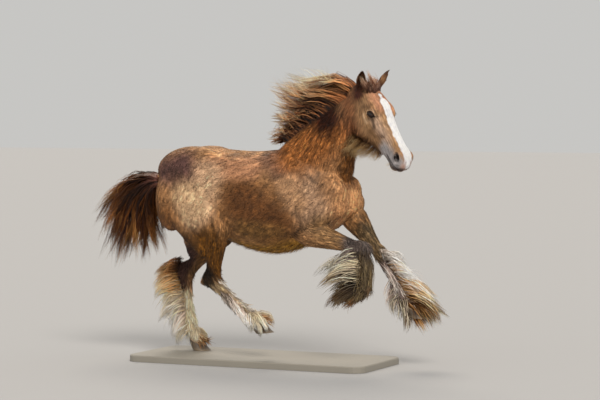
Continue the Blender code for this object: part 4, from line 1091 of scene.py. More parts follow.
@dataclass(frozen=True)
class Lie:
    """The way that the coat lies, from region to region."""

    def layers(self) -> list[Layer]:
        """The directions of the hair, in the order that they are laid on."""
        along = HEAD.axes()[0]
        body = (
            # direction, start, end, radius
            ((-0.8, 0, -0.6), (-0.2, 0.2, 0.95), (0.3, 0.2, 1.0), 0.4),
            ((-0.95, 0, -0.2), (-0.2, 0.0, 0.66), (0.25, 0.0, 0.7), 0.16),
            ((-0.35, 0, -0.93), (-0.62, 0.2, 1.1), (-0.45, 0.2, 0.85), 0.24),
            ((-0.28, 0, -0.96), (0.25, 0.1, 1.25), (0.6, 0.0, 1.55), 0.26),
            ((-0.1, 0, -1.0), (0.46, 0.1, 1.05), (0.46, 0.1, 0.9), 0.14),
        )
        made = [(Region(start, end, radius), vec(*way), 1.0) for way, start, end, radius in body]
        for leg in LEGS:
            joints = list(leg.joints)[1:]
            for first, second in zip(joints, joints[1:]):
                space = Region(leg.joints[first], leg.joints[second], 0.13, 0.5, both=False)
                made.append((space, unit(leg.at(second) - leg.at(first)), 1.0))
        face = Region((0.0, 0.05, -0.08), (0.55, 0.03, -0.08), 0.17, 0.4, Frame.HEAD)
        jaw = Region((0.05, 0.07, -0.17), (0.3, 0.06, -0.2), 0.09, 0.6, Frame.HEAD)
        made += [(face, along, 1.0), (jaw, vec(-0.55, 0, -0.83), 1.0)]
        return made + [(ear_region(side, 0.05, 0.3), HEAD.ear_axes(side)[0], 1.0) for side in SIDES]

    def at(self, points: Array, normals: Array) -> Array:
        """The direction in which the hair lies on the skin.

        Args:
            points: places on the skin.
            normals: its outward directions.

        Returns:
            Directions of length one, flat on the skin.
        """
        way = layered(points, vec(-0.75, 0, -0.65), self.layers())
        way += 0.06 * np.stack([ripple(points, 0.12, seed) for seed in (31, 32, 33)], 1)
        return unit(way - normals * np.einsum("ij,ij->i", way, normals)[:, None])


@dataclass(frozen=True)
class Pile:
    """How long, wide and raised the coat's tufts are, from region to region."""

    base: Point = (0.017, 0.0026, 0.16)

    def layers(self) -> list[Layer]:
        """Length, width and rise of the tufts, in the order that they are laid on."""
        rows = [
            (Region((0.15, 0.05, 1.3), (0.6, 0, 1.6), 0.18), (0.034, 0.0034, 0.26)),
            (Region((0.5, 0.02, 1.2), (0.6, -0.04, 1.44), 0.1), (0.046, 0.0036, 0.34)),
            (Region((-0.2, 0.05, 0.66), (0.3, 0.05, 0.69), 0.09), (0.044, 0.0034, 0.44)),
            (Region((-0.7, 0.1, 0.8), (-0.45, 0.1, 0.74), 0.1), (0.026, 0.003, 0.24)),
            (Region((0.0, 0.05, -0.08), (0.6, 0.03, -0.08), 0.17, 0.3, Frame.HEAD), (0.01, 0.0018, 0.08)),
            (Region((0.08, 0.05, -0.22), (0.36, 0.04, -0.22), 0.055, 0.7, Frame.HEAD), (0.024, 0.0024, 0.4)),
            (Region((0.52, 0.03, -0.06), (0.62, 0.0, -0.08), 0.075, 0.6, Frame.HEAD), (0.0035, 0.001, 0.2)),
        ]
        for leg in LEGS:
            names = ("elbow", "knee", "fetlock", "toe") if leg.fore else ("stifle", "hock", "fetlock", "toe")
            upper, middle, lower, toe = (leg.joints[name] for name in names)
            rows += [
                (Region(upper, middle, 0.11, 0.5, both=False), (0.022, 0.0028, 0.2)),
                (Region(middle, lower, 0.075, 0.5, both=False), (0.046, 0.0036, 0.26)),
                (Region(lower, toe, 0.08, 0.5, both=False), (0.055, 0.0038, 0.3)),
            ]
        rows += [(ear_region(side, 0.04, 0.3), (0.01, 0.0016, 0.22)) for side in SIDES]
        return [(region, np.array(value), 1.0) for region, value in rows]

    def at(self, points: Array) -> Array:
        """Length, width and rise of the tufts at each place."""
        return layered(points, np.array(self.base), self.layers())


MARKINGS_AND_PAINTED_LIGHT = MarkingsAndPaintedLight()
LIE = Lie()
PILE = Pile()


# ---- finishes


@dataclass(frozen=True)
class Finish:
    """How a piece takes the light.

    Without a colour it takes the piece's own tint. The mottle is the size of its spots in
    metres, their detail, and their darkest and lightest shade. The relief is the size of its
    grain in metres, its detail, its strength, and its depth in metres.
    """

    name: str
    roughness: float
    specular: float = 0.5
    ior: float = 1.5
    colour: str = ""
    mottle: tuple[float, ...] = ()
    relief: tuple[float, ...] = ()

    def material(self) -> bpy.types.Material:
        """The material, made once and then found again by its name."""
        found = bpy.data.materials.get(self.name)
        if found:
            return found
        made = bpy.data.materials.new(self.name)
        made.use_nodes = True
        tree = made.node_tree
        shader = tree.nodes["Principled BSDF"]
        shader.inputs["Roughness"].default_value = self.roughness
        shader.inputs["IOR"].default_value = self.ior
        shader.inputs["Specular IOR Level"].default_value = self.specular
        noises = []
        for size, detail, *_ in filter(None, (self.mottle, self.relief)):
            place = add_node(tree, "ShaderNodeTexCoord").outputs["Object"]
            noises.append(add_node(tree, "ShaderNodeTexNoise", {"Scale": 1 / size, "Detail": detail},
                                   {"Vector": place}).outputs["Fac"])
        paint_input = shader.inputs["Base Color"]
        if self.mottle:
            shade = add_node(tree, "ShaderNodeMapRange", {
                "To Min": self.mottle[2], "To Max": self.mottle[3]}, {"Value": noises[0]})
            mix = add_node(tree, "ShaderNodeMix", {"data_type": "RGBA", "blend_type": "MULTIPLY", 0: 1.0},
                           {7: shade.outputs["Result"]})
            tree.links.new(mix.outputs[2], paint_input)
            paint_input = mix.inputs[6]
        if self.colour:
            paint_input.default_value = (*linear(self.colour), 1.0)
        else:
            tint = add_node(tree, "ShaderNodeAttribute", {"attribute_name": TINT})
            tree.links.new(tint.outputs["Color"], paint_input)
        if self.relief:
            bump = add_node(tree, "ShaderNodeBump", {"Strength": self.relief[2], "Distance": self.relief[3]},
                            {"Height": noises[-1]})
            tree.links.new(bump.outputs["Normal"], shader.inputs["Normal"])
        return made


# tanned skin under the hair: dull, and its pores keep it from looking like plastic
HIDE = Finish("horse_hide", 0.6, 0.22, KERATIN_IOR,
              mottle=(0.01, 3.0, 0.9, 1.1), relief=(0.0035, 4.0, 0.55, 0.00105))
# short keratin fibres: a soft, broad shine that follows the tufts
COAT = Finish("short_coat_hair", 0.52, 0.24, KERATIN_IOR)
# longer and smoother fibres: a narrower shine along each lock
LONG_HAIR = Finish("long_hair", 0.4, 0.26, KERATIN_IOR)
# a film of tears over a dark ball: small sharp highlights
EYE_GLASS = Finish("wet_eye", 0.04, 0.6, KERATIN_IOR)
# grown horn: satin, with fine streaks down the wall
HORN = Finish("hoof_horn", 0.42, 0.45, KERATIN_IOR,
              mottle=(0.0018 / 0.35, 3.0, 0.75, 1.25), relief=(0.0018, 4.0, 0.5, 0.00054))
# rolled matt paint on board: a fine orange peel that spreads the light
PLINTH = Finish("painted_board", 0.55, colour="#8f8a80",
                mottle=(0.4, 5.0, 0.88, 1.08), relief=(0.003, 2.0, 0.25, 0.0006))
# seamless studio paper: no shine at all
FLOOR = Finish("pale_floor", 0.9, colour="#adadae")


# ---- the skin


@dataclass
class Skin:
    """One closed skin over the whole body, with the face opened and creased."""

    heavy_voxel: float = 0.013
    heavy_softness: int = 12
    voxel: float = 0.0045
    softness: int = 10
    budget: int = 92_000
    coat_depth: tuple[float, float] = (0.0006, 0.006)
    # the bone of the tail: x, z, radius
    dock: tuple[Point, ...] = (
        (-0.7, 1.12, 0.045), (-0.8, 1.115, 0.04), (-0.87, 1.085, 0.034), (-0.93, 1.03, 0.02))
    surface: Surface = field(default_factory=lambda: Surface(np.zeros((0, 3)), np.zeros((0, 3), int)))

    def grow(self) -> None:
        """Melts the masses of the body into one skin, heavy ones first."""
        heavy = Trunk().surfaces() + Neck().surfaces() + [piece for leg in LEGS for piece in leg.thigh()]
        fine = [melted(merged(heavy), self.heavy_voxel, self.heavy_softness)] + HEAD.surfaces()
        dock = loft(np.array([
            oval(vec(x, 0, z), vec(0, 1, 0), vec(0.3, 0, 1), r, r, r, 2.0, 16)
            for x, z, r in self.dock
        ]))
        fine += [dock] + [piece for leg in LEGS for piece in leg.shank()]
        self.surface = melted(merged(fine), self.voxel, self.softness)

    def detail(self) -> Surface:
        """Thins the body, refines the face, sinks the skin by the coat's depth and carves it.

        Returns:
            The finished surface.
        """
        down, aside, out = HEAD.measures(self.surface.points).T
        face = smooth(0.0, 0.05, down) * smooth(-0.3, -0.24, out) * smooth(0.16, 0.12, np.abs(aside))
        self.surface = thinned(self.surface, self.budget, face * 0.9)
        for reach in (1.0, 0.55):
            middle = HEAD.measures(self.surface.points[self.surface.triangles].mean(1))
            down, _, out = middle.T
            eye = near_line(middle, HEAD.eye_spot, HEAD.eye_spot, both=True)
            mouth = (down > 0.5 - 0.05 * reach) & (out > -0.2) & (down < 0.8)
            if reach < 1:
                nostril = (np.abs(down - 0.534) < 0.046) & (np.abs(out + 0.05) < 0.038)
                mouth &= (np.abs(out + 0.108) < 0.014) | nostril
            self.surface = refined(self.surface, (eye < 0.062 * reach) | mouth)
        self.sink()
        for side in SIDES:
            Eye(side).open_lids(self.surface)
            self.open_nostril(side)
        self.part_lips()
        self.crease()
        return self.surface

    def sink(self) -> None:
        """Moves the skin inwards by the depth of the coat that lies on it."""
        points, normals = self.surface.points, self.surface.normals()
        length, _, rise = PILE.at(points).T
        depth = np.clip(length * (0.1 + rise * 0.55), *self.coat_depth)
        self.surface.points = points - normals * depth[:, None]

    def open_nostril(self, side: int) -> None:
        """Sinks a comma-shaped nostril with a raised rim.

        Args:
            side: 1 for the left nostril, -1 for the right one.
        """
        along, out, left = HEAD.axes()
        centre = HEAD.nostril(side, 0.06)
        slant = along * 0.76 - out * 0.65
        outward = unit(left * side * 0.9 + along * 0.35 + out * 0.1)
        slant = unit(slant - outward * (slant @ outward))
        across = np.cross(outward, slant)
        rel = self.surface.points - centre
        a = rel @ slant / 0.038
        b = (rel @ across) / 0.0215 + 0.3 * a * a - 0.15
        o = rel @ outward
        r = np.hypot(a, b)
        near = (np.abs(o) < 0.035).astype(float)
        hole = (1 - smooth(0.55, 1.0, r)) * near
        rim = hump(r, 1.25, 0.3) * near
        self.surface.points += outward * (rim * 0.003 - hole * 0.024)[:, None]

    def mouth(self) -> tuple[Array, Array, Array]:
        """For each point: its turn round the muzzle, its height over the mouth, how far forward."""
        down, aside, out = HEAD.measures(self.surface.points).T
        turn = np.arctan2(aside / 0.051, (down - 0.478) / 0.122)
        return turn, out - (-0.11 + 0.01 * np.cos(turn)), smooth(0.44, 0.47, down)

    def part_lips(self) -> None:
        """Presses the line of the mouth in and fills the lips above and below it."""
        along, _, left = HEAD.axes()
        turn, height, front = self.mouth()
        reach = (1 - smooth(math.radians(88), math.radians(102), np.abs(turn))) * front
        outward = unit(np.cos(turn)[:, None] * along + np.sin(turn)[:, None] * left)
        line = hump(height, 0, 0.0028) * 0.0085
        lips = (hump(height, 0.009, 0.007) + hump(height, -0.009, 0.007)) * 0.0022
        self.surface.points += outward * ((lips - line) * reach)[:, None]

    def crease(self) -> None:
        """Adds the grooves between muscles and the folds of the skin."""
        rows = (
            # start, end, width, depth
            ((0.56, -0.005, 1.12), (0.52, -0.005, 0.88), 0.022, 0.017),
            ((0.27, 0.2, 0.8), (0.36, 0.22, 0.88), 0.016, 0.012),
            ((0.225, 0.25, 1.04), (0.295, 0.24, 0.79), 0.02, 0.01),
            ((-0.285, 0.26, 0.75), (-0.335, 0.26, 0.97), 0.022, 0.01),
            ((0.36, 0.19, 1.16), (0.2, 0.17, 1.33), 0.03, 0.009),
            ((-0.66, 0.22, 1.02), (-0.6, 0.2, 0.84), 0.026, 0.007),
        )
        points, normals = self.surface.points, self.surface.normals()
        total = np.zeros(len(points))
        for start, end, width, depth in rows:
            total = np.maximum(total, depth * hump(near_line(points, start, end, both=True), 0, width))
        self.surface.points = points - normals * total[:, None]

    def tint(self) -> Array:
        """The skin's colour: the coat's markings, darker under hair, dark bare lids, a painted highlight over
        the upper lids, and painted shade in the nostrils and along the mouth.

        Returns:
            Linear colours.
        """
        points = self.surface.points
        colour = MARKINGS_AND_PAINTED_LIGHT.streaked(points, self.surface.normals()) * 0.85
        dark = linear("#1d1512")
        for side in SIDES:
            eye = Eye(side)
            inside = np.linalg.norm(points - HEAD.nostril(side, 0.05), axis=1)
            for part, shade in (
                # painted highlight along the fold over the upper lid
                (eye.lid_fold_highlight(points) * 0.85, linear("#e2c19f")),
                (eye.rim(points), dark),
                # painted shade inside the nostril's hollow
                (1 - smooth(0.02, 0.034, inside), dark),
            ):
                colour = blend(colour, shade, part[:, None])
        turn, height, front = self.mouth()
        # painted shade in the groove of the mouth
        line = (1 - smooth(0.0025, 0.0065, np.abs(height))) * (1 - smooth(1.5, 1.8, np.abs(turn))) * front
        return blend(colour, linear("#2e201c"), line[:, None])

    def dress(self) -> Object:
        """Makes the skin's object."""
        places = unwrapped(self.surface.points, self.surface.normals())
        return mesh_of("skin", self.surface, HIDE, self.tint(), places)


@dataclass(frozen=True)
class Eye:
    """One eye: a dark wet ball between two lids, with lashes on the upper one."""

    side: int
    upper: float = 0.64
    lower: float = 0.5
    corner: float = 1.1
    lid: float = 1.16

    def axes(self) -> tuple[Array, Array, Array, Array]:
        """The eye's centre, the way it looks, towards its front corner, and upwards."""
        along, out, left = HEAD.axes()
        distance, side, height = HEAD.eye_spot
        centre = HEAD.place(distance, side * self.side, height)
        outward = unit(left * self.side * 0.93 + out * 0.25 + along * 0.16)
        length = along * 0.88 + out * 0.47
        length = unit(length - outward * (length @ outward))
        upwards = np.cross(length, outward) * self.side
        upwards = upwards if upwards @ out > 0 else -upwards
        return centre, outward, length, upwards

    def local(self, points: Array) -> tuple[Array, Array, Array]:
        """Places in units of the ball's radius: along the opening, up it, and outwards."""
        centre, outward, length, upwards = self.axes()
        rel = (points - centre) / HEAD.eye_radius
        return rel @ length, rel @ upwards, rel @ outward

    def beyond(self, a: Array, b: Array) -> Array:
        """How far outside the opening a place lies, in radii; below 0 is inside."""
        bow = np.cos(np.clip(a / self.corner, -1, 1) * math.pi / 2) ** 0.8
        top, bottom = self.upper * bow, -self.lower * bow
        edge = np.abs(b - (top + bottom) / 2) - (top - bottom) / 2
        return np.where(np.abs(a) > self.corner, np.hypot(np.abs(a) - self.corner, edge), edge)

    def open_lids(self, surface: Surface) -> None:
        """Wraps the skin round the ball as two lids, and sinks it inside the opening.

        Args:
            surface: the skin, which is changed.
        """
        outward = self.axes()[1]
        a, b, o = self.local(surface.points)
        near = (np.hypot(a, b) < 2.6) & (o > -0.9)
        edge = self.beyond(a, b)
        reach = np.hypot(a, b)
        lid = np.sqrt(np.maximum(self.lid**2 - reach**2, 0))
        over = np.maximum(o, lid)
        blend = 1 - smooth(0.95, 1.9, reach)
        raised = o + (over - o) * np.maximum(blend, smooth(1.16, 1.0, reach))
        raised = raised + 0.1 * hump(edge, 0.1, 0.12)
        raised = raised - 0.16 * hump(edge, 0.42, 0.13) * (b > 0) * smooth(1.5, 1.0, np.abs(a))
        raised = raised - 0.06 * hump(edge, 0.5, 0.16) * (b < 0) * smooth(1.4, 0.9, np.abs(a))
        inside = 0.55 * np.sqrt(np.maximum(1 - reach**2, 0))
        moved = np.where(edge < 0, np.minimum(inside, o), raised)
        surface.points += outward * np.where(near, (moved - o) * HEAD.eye_radius, 0)[:, None]

    def rim(self, points: Array) -> Array:
        """How much of the dark bare skin of the lids each place is in."""
        a, b, o = self.local(points)
        edge = self.beyond(a, b) * np.where(b > 0, 1.35, 0.95 - 0.35 * smooth(-0.2, 0.7, a))
        return (1 - smooth(0.14, 0.38, edge)) * (np.hypot(a, b) < 2) * (o > -0.6)

    def lid_fold_highlight(self, points: Array) -> Array:
        """How much of the painted highlight along the fold over the upper lid each place is in."""
        a, b, o = self.local(points)
        near = (b > np.minimum(0, 0.5 + a)) * (np.hypot(a, b) < 2.2) * (o > -0.6)
        return hump(self.beyond(a, b), 0.5, 0.2) * near * smooth(1.7, 1.1, np.abs(a))

    def ball(self) -> Surface:
        """The eyeball, with a slightly bulging cornea."""
        centre, outward, length, _ = self.axes()
        made = ellipsoid(centre, (1, 1, 1), outward, length, (48, 40))
        way = unit(made.points - centre)
        front = way @ outward
        bulge = 1 + 0.045 * smooth(0.72, 1.0, front)
        made.points = centre + way * HEAD.eye_radius * bulge[:, None]
        return made

    def ball_tint(self, surface: Surface) -> Array:
        """Brown iris with a dark level pupil, and a greyer brown round the iris."""
        a, b, _ = self.local(surface.points)
        iris = smooth(0.86, 0.8, np.hypot(a, b))[:, None]
        pupil = smooth(1.15, 0.9, np.hypot(a / 0.42, b / 0.24))[:, None]
        colour = blend(linear("#4a3527"), linear("#382012"), iris)
        return blend(colour, linear("#050404"), pupil)

    def dress(self) -> Object:
        """Makes the eyeball's object."""
        name, ball = "eyeball_left" if self.side > 0 else "eyeball_right", self.ball()
        return mesh_of(name, ball, EYE_GLASS, self.ball_tint(ball))


# ---- the short coat


@dataclass(frozen=True)
class CoatPiece:
    """One joined mesh of tufts over part of the body.

    Short flat fur has tufts of one straight step, shaggy fur has bent ones.
    """

    name: str
    tufts: int
    seed: int
    steps: int = 2
    bulk: float = 1.0

    def chooses(self, points: Array) -> Array:
        """How much each place belongs to this piece, from 0 to 1."""
        down, aside, out = HEAD.measures(points).T
        on_head = (down > -0.02) & (out > -0.3) & (np.abs(aside) < 0.17) & (down < 0.75)
        on_head &= (down > 0.02) | (out > -0.1)
        leg = np.zeros(len(points), bool)
        for one in LEGS:
            joints = list(one.joints.values())[2:]
            for first, second in zip(joints, joints[1:]):
                leg |= near_line(points, first, second) < 0.12
        leg &= ~on_head
        neck = ~on_head & ~leg & (points[:, 0] * 0.5 + points[:, 2] * 0.87 > 1.215)
        table = {
            "coat_head": on_head,
            "coat_legs": leg,
            "coat_neck": neck,
            "coat_left": ~on_head & ~leg & ~neck & (points[:, 1] > 0),
            "coat_right": ~on_head & ~leg & ~neck & (points[:, 1] <= 0),
        }
        return table[self.name].astype(float)

    def roots(self, skin: Surface) -> tuple[Array, Array]:
        """Draws the places on the skin where tufts grow, even but for their size.

        Args:
            skin: the skin.

        Returns:
            The places and the outward directions there.
        """
        chance = np.random.default_rng(self.seed)
        normals = skin.normals()
        middle = skin.points[skin.triangles].mean(1)
        size = PILE.at(middle)
        bare = np.maximum(Eye(-1).rim(middle), Eye(1).rim(middle))
        weight = skin.areas() * self.chooses(middle) / (size[:, 0] * size[:, 1]) * (1 - bare)
        for leg in LEGS:
            weight *= ~Hoof(leg).covers(middle)
        for side in SIDES:
            weight *= np.linalg.norm(middle - HEAD.nostril(side, 0.056, -0.05), axis=1) > 0.02
        pick = chance.choice(len(weight), self.tufts, p=weight / weight.sum())
        u, v = chance.random((2, self.tufts))
        flip = u + v > 1
        u, v = np.where(flip, 1 - u, u), np.where(flip, 1 - v, v)
        share = np.stack([1 - u - v, u, v], 1)
        place, outward = (
            np.einsum("ik,ikj->ij", share, value[skin.triangles[pick]]) for value in (skin.points, normals)
        )
        return place, unit(outward)

    def build(self, skin: Surface) -> Strands:
        """Lays the tufts along the skin, with their tips a little off it.

        Args:
            skin: the skin that they grow from.

        Returns:
            The tufts as strands.
        """
        chance = np.random.default_rng(self.seed + 100)
        place, outward = self.roots(skin)
        count = len(place)
        length, width, rise = PILE.at(place).T
        shaggy = smooth(0.012, 0.04, length)
        length = length * chance.uniform(0.65, 1.3, count)
        width = width * chance.uniform(0.75, 1.25, count) * self.bulk
        rise = rise * chance.uniform(0.5, 1.5, count)
        way = LIE.at(place, outward)
        side = np.cross(outward, way)
        swing = chance.normal(0, 0.12, count) + (0.1 + 0.22 * shaggy) * ripple(place, 0.045, 61)
        way = unit(way + side * swing[:, None])
        side = unit(np.cross(outward, way))
        share = np.linspace(0, 1, self.steps)
        arch = 1.35 * share - 0.55 * share**2
        curl = chance.normal(0, 0.1, (count, 1)) * share**2
        sunk = outward * (length * 0.05)[:, None]
        path = (place - sunk)[:, None] + (way * length[:, None])[:, None] * share[None, :, None]
        path += outward[:, None] * (length * rise)[:, None, None] * arch[None, :, None]
        path += side[:, None] * (curl * length[:, None])[..., None]
        shade = chance.normal(1.0, 0.2, count)[:, None] * MARKINGS_AND_PAINTED_LIGHT.streaked(place, outward)
        fade = 0.1 + 0.2 * min(self.steps - 2, 1)
        along = np.interp(share, (0, 0.5, 1), (1 - fade, 1.0, 1 + fade * 0.7))
        colours = np.clip(shade[:, None] * along[None, :, None], 0, 1)
        return Strands(path, width, colours, outward, COAT)


COAT_PIECES = (
    CoatPiece("coat_left", 44_000, 50, bulk=1.4),
    CoatPiece("coat_right", 44_000, 51, bulk=1.4),
    CoatPiece("coat_head", 40_000, 52, bulk=1.3),
    CoatPiece("coat_neck", 16_500, 53, 3),
    CoatPiece("coat_legs", 6_500, 54, 4),
)


# ---- long hair


@dataclass
class Strands:
    """Many tapering strands, each a path of the same number of places."""

    paths: Array
    widths: Array
    colours: Array
    outward: Array
    finish: Finish

    def dress(self, name: str) -> Object:
        """Makes one mesh of closed three-sided strands.

        Args:
            name: the piece's name.

        Returns:
            The object.
        """
        count, steps = self.paths.shape[:2]
        along = np.gradient(self.paths, axis=1)
        side = unit(np.cross(along, self.outward[:, None, :]))
        up = unit(np.cross(side, along))
        share = np.linspace(0, 1, steps)
        width = self.widths[:, None, None] * np.interp(share, *TAPER)[None, :, None]
        rings = np.stack([
            self.paths - side * width * 0.5,
            self.paths + up * width * THICKNESS,
            self.paths + side * width * 0.5,
        ], 2)[:, :-1]
        points = np.concatenate([rings.reshape(count, -1, 3), self.paths[:, -1:]], 1)
        faces = [(0, 2, 1)]
        for i in range(steps - 2):
            for j in range(3):
                k = (j + 1) % 3
                a, b, c, d = 3 * i + j, 3 * i + k, 3 * i + 3 + k, 3 * i + 3 + j
                faces += [(a, b, c), (a, c, d)]
        last = 3 * (steps - 2)
        faces += [(last + j, last + (j + 1) % 3, last + 3) for j in range(3)]
        size = points.shape[1]
        triangles = (np.arange(count)[:, None, None] * size + np.array(faces)[None]).reshape(-1, 3)
        tint = np.concatenate([np.repeat(self.colours[:, :-1], 3, axis=1), self.colours[:, -1:]], 1)
        root = unwrapped(self.paths[:, 0], self.outward)
        rows = np.concatenate([np.repeat(share[:-1], 3), share[-1:]])
        lanes = np.concatenate([np.tile((0, 0.5, 1), steps - 1), (0.5,)])
        places = root[:, None, :] + np.stack([lanes, rows], 1)[None] * TUFT_PATCH
        return mesh_of(name, Surface(points.reshape(-1, 3), triangles), self.finish,
                       np.clip(tint, 0, 1).reshape(-1, 3), places.reshape(-1, 2))


def ramp(stops: Sequence[tuple[float, str]], share: Array) -> Array:
    """Colours along a hair.

    Args:
        stops: share of the length and hex colour, in order.
        share: places along the hair.

    Returns:
        Linear colours, one for each place.
    """
    at = [stop for stop, _ in stops]
    codes = np.array([linear(code) for _, code in stops])
    return np.stack([np.interp(share, at, codes[:, k]) for k in range(3)], -1)


@dataclass(frozen=True)
class Curtain:
    """A mane or tail: strands along a family of guide paths, gathered into locks.

    The strands of a lock start side by side and draw together towards its tip, and
    each lock has its own wave, reach and tone. Stray hairs leave their lock.
    """

    guides: tuple[tuple[Point, ...], ...]
    strands: int
    locks: int
    root_spread: float
    tip_spread: float
    width: float
    wave: float
    lift: float
    stops: tuple[tuple[float, str], ...]
    # the second ramp, which each lock takes by the shine of its row: the hair's own gold, and where the shine
    # is high a painted highlight
    gold_and_highlight: tuple[tuple[float, str], ...]
    shine: tuple[float, ...]
    seed: int
    stray: float
    curl: float
    steps: int = 8

    def build(self) -> Strands:
        """Draws the strands.

        Returns:
            The strands in the horse's frame.
        """
        chance = np.random.default_rng(self.seed)
        table = np.array(self.guides)
        rows = np.linspace(0, 1, len(table))
        knots = np.linspace(0, 1, table.shape[1])
        share = np.linspace(0, 1, self.steps) ** 1.2
        lock_at = (np.arange(self.locks) + chance.uniform(0, 1, self.locks)) / self.locks
        lock_side = chance.uniform(-1, 1, self.locks)
        lock_reach = 1 + chance.uniform(-0.34, 0.08, self.locks)
        lock_phase = chance.uniform(0, math.tau, (self.locks, 2))
        lock_wave = self.wave * chance.uniform(0.4, 1.7, (self.locks, 2))
        lock_lift = chance.normal(0, self.lift, self.locks)
        lock_tone = np.exp(chance.normal(0, 0.4, self.locks))
        lock_gold_and_highlight = np.interp(lock_at, rows, self.shine) * 3 * chance.random(self.locks) ** 2
        mine = chance.integers(0, self.locks, self.strands)
        stray = chance.random(self.strands) < self.stray
        at = np.clip(lock_at[mine] + chance.normal(0, 0.8 / self.locks, self.strands), 0, 1)
        own, heart = (
            spline(knots, line.transpose(1, 0, 2), share).transpose(1, 0, 2)
            for line in (spline(rows, table, at), spline(rows, table, lock_at)[mine])
        )
        gather = np.where(stray, *HOLD)[:, None] * smooth(0.05, 0.8, share)[None]
        path = own + (heart - own) * gather[..., None]
        reach = lock_reach[mine] * (1 + chance.uniform(-0.22, 0.04, self.strands))
        path = path[:, :1] + (path - path[:, :1]) * (1 + (reach[:, None] - 1) * share[None])[..., None]
        loose = chance.normal(0, 0.45, self.strands)[:, None] * (1 - 0.75 * smooth(0.05, 0.8, share))[None]
        side = np.clip(lock_side[mine][:, None] + np.where(stray[:, None], 1.6, 1.0) * loose, -1.3, 1.3)
        spread = self.root_spread + (self.tip_spread - self.root_spread) * share
        turn = math.tau * share[None] * 1.25
        bend = lock_wave[mine] * np.where(stray, 1.35, 1.0)[:, None]
        phase = lock_phase[mine] + np.where(stray, chance.uniform(-2, 2, self.strands), 0)[:, None]
        grow = smooth(0.0, 0.7, share)[None]
        path[..., 1] += side * spread + bend[:, :1] * np.sin(turn + phase[:, :1]) * grow
        path[..., 2] += bend[:, 1:] * np.sin(turn * 0.85 + phase[:, 1:]) * grow
        path[..., 2] += (lock_lift[mine][:, None] + np.where(stray, self.lift * 1.8, 0)[:, None]) * share**2
        path[..., 2] -= np.abs(side) * 0.02 * (1 - share)
        hook = self.curl * chance.uniform(0.3, 1.6, (self.locks, 2))[mine]
        hook = hook * np.where(stray, 1.5, 1.0)[:, None]
        swirl = lock_phase[mine] + math.tau * 1.5 * share[:, None, None]
        path[..., 0] += (hook[:, 0] * np.sin(swirl[..., 0])).T * share**2
        path[..., 2] += (hook[:, 1] * np.cos(swirl[..., 1])).T * share**2
        gold_and_highlight_share = np.clip(lock_gold_and_highlight[mine] + chance.normal(0, 0.24, self.strands), 0, 1)[:, None, None]
        jitter = chance.normal(0, 0.07, (self.strands, 1))
        along = np.clip(share[None] + jitter, 0, 1)
        colour = blend(ramp(self.stops, along), ramp(self.gold_and_highlight, along), gold_and_highlight_share)
        tone = lock_tone[mine] * np.exp(chance.normal(0, 0.22, self.strands))
        facing = np.where(side[:, 0] < 0, -1.0, 1.0)
        outward = unit(np.stack([np.zeros(self.strands), facing, np.full(self.strands, 0.4)], 1))
        widths = self.width * chance.uniform(0.6, 1.25, self.strands)
        return Strands(path, widths, np.clip(colour * tone[:, None, None], 0.003, 1), outward, LONG_HAIR)


MANE = Curtain(
    (
        ((0.625, -0.05, 1.662), (0.53, -0.03, 1.728), (0.41, 0, 1.758),
         (0.272, 0.02, 1.742), (0.14, 0.03, 1.712)),
        ((0.565, -0.042, 1.622), (0.495, -0.02, 1.664), (0.363, 0, 1.698),
         (0.18, 0.02, 1.686), (0.035, 0.03, 1.716)),
        ((0.49, -0.03, 1.572), (0.415, -0.015, 1.615), (0.295, 0, 1.638),
         (0.135, 0.02, 1.634), (0.01, 0.03, 1.69)),
        ((0.405, -0.018, 1.517), (0.33, -0.01, 1.562), (0.227, 0.01, 1.58),
         (0.095, 0.02, 1.572), (-0.035, 0.04, 1.612)),
        ((0.315, -0.008, 1.457), (0.255, 0, 1.5), (0.179, 0.01, 1.518),
         (0.075, 0.02, 1.5), (-0.045, 0.045, 1.528)),
        ((0.225, 0, 1.4), (0.168, 0, 1.44), (0.115, 0.01, 1.45), (0.06, 0.02, 1.436), (0, 0.03, 1.428)),
        ((0.14, 0, 1.345), (0.09, 0, 1.372), (0.044, 0, 1.368),
         (-0.005, 0.01, 1.347), (-0.06, 0.02, 1.318)),
    ),
    strands=4900, locks=84, root_spread=0.026, tip_spread=0.06, width=0.0036, wave=0.014, lift=0.017,
    # the dark roots and middles are partly the hair's own dark brown, partly painted shade deep in the mane;
    # the high shine of the top rows lays a painted highlight on the lit upper edge, over its golden locks
    stops=((0.0, "#0c0504"), (0.5, "#160704"), (0.74, "#4e240e"), (0.86, "#d88a50"), (1.0, "#ffe2b8")),
    gold_and_highlight=((0.0, "#985432"), (0.3, "#f09c60"), (0.6, "#ffc084"), (0.85, "#ffe0b6"), (1.0, "#fff4dc")),
    shine=(2.5, 1.0, 0.14, 0.04, 0.05, 0.05, 0.0), seed=11, stray=0.24, curl=0.026,
)
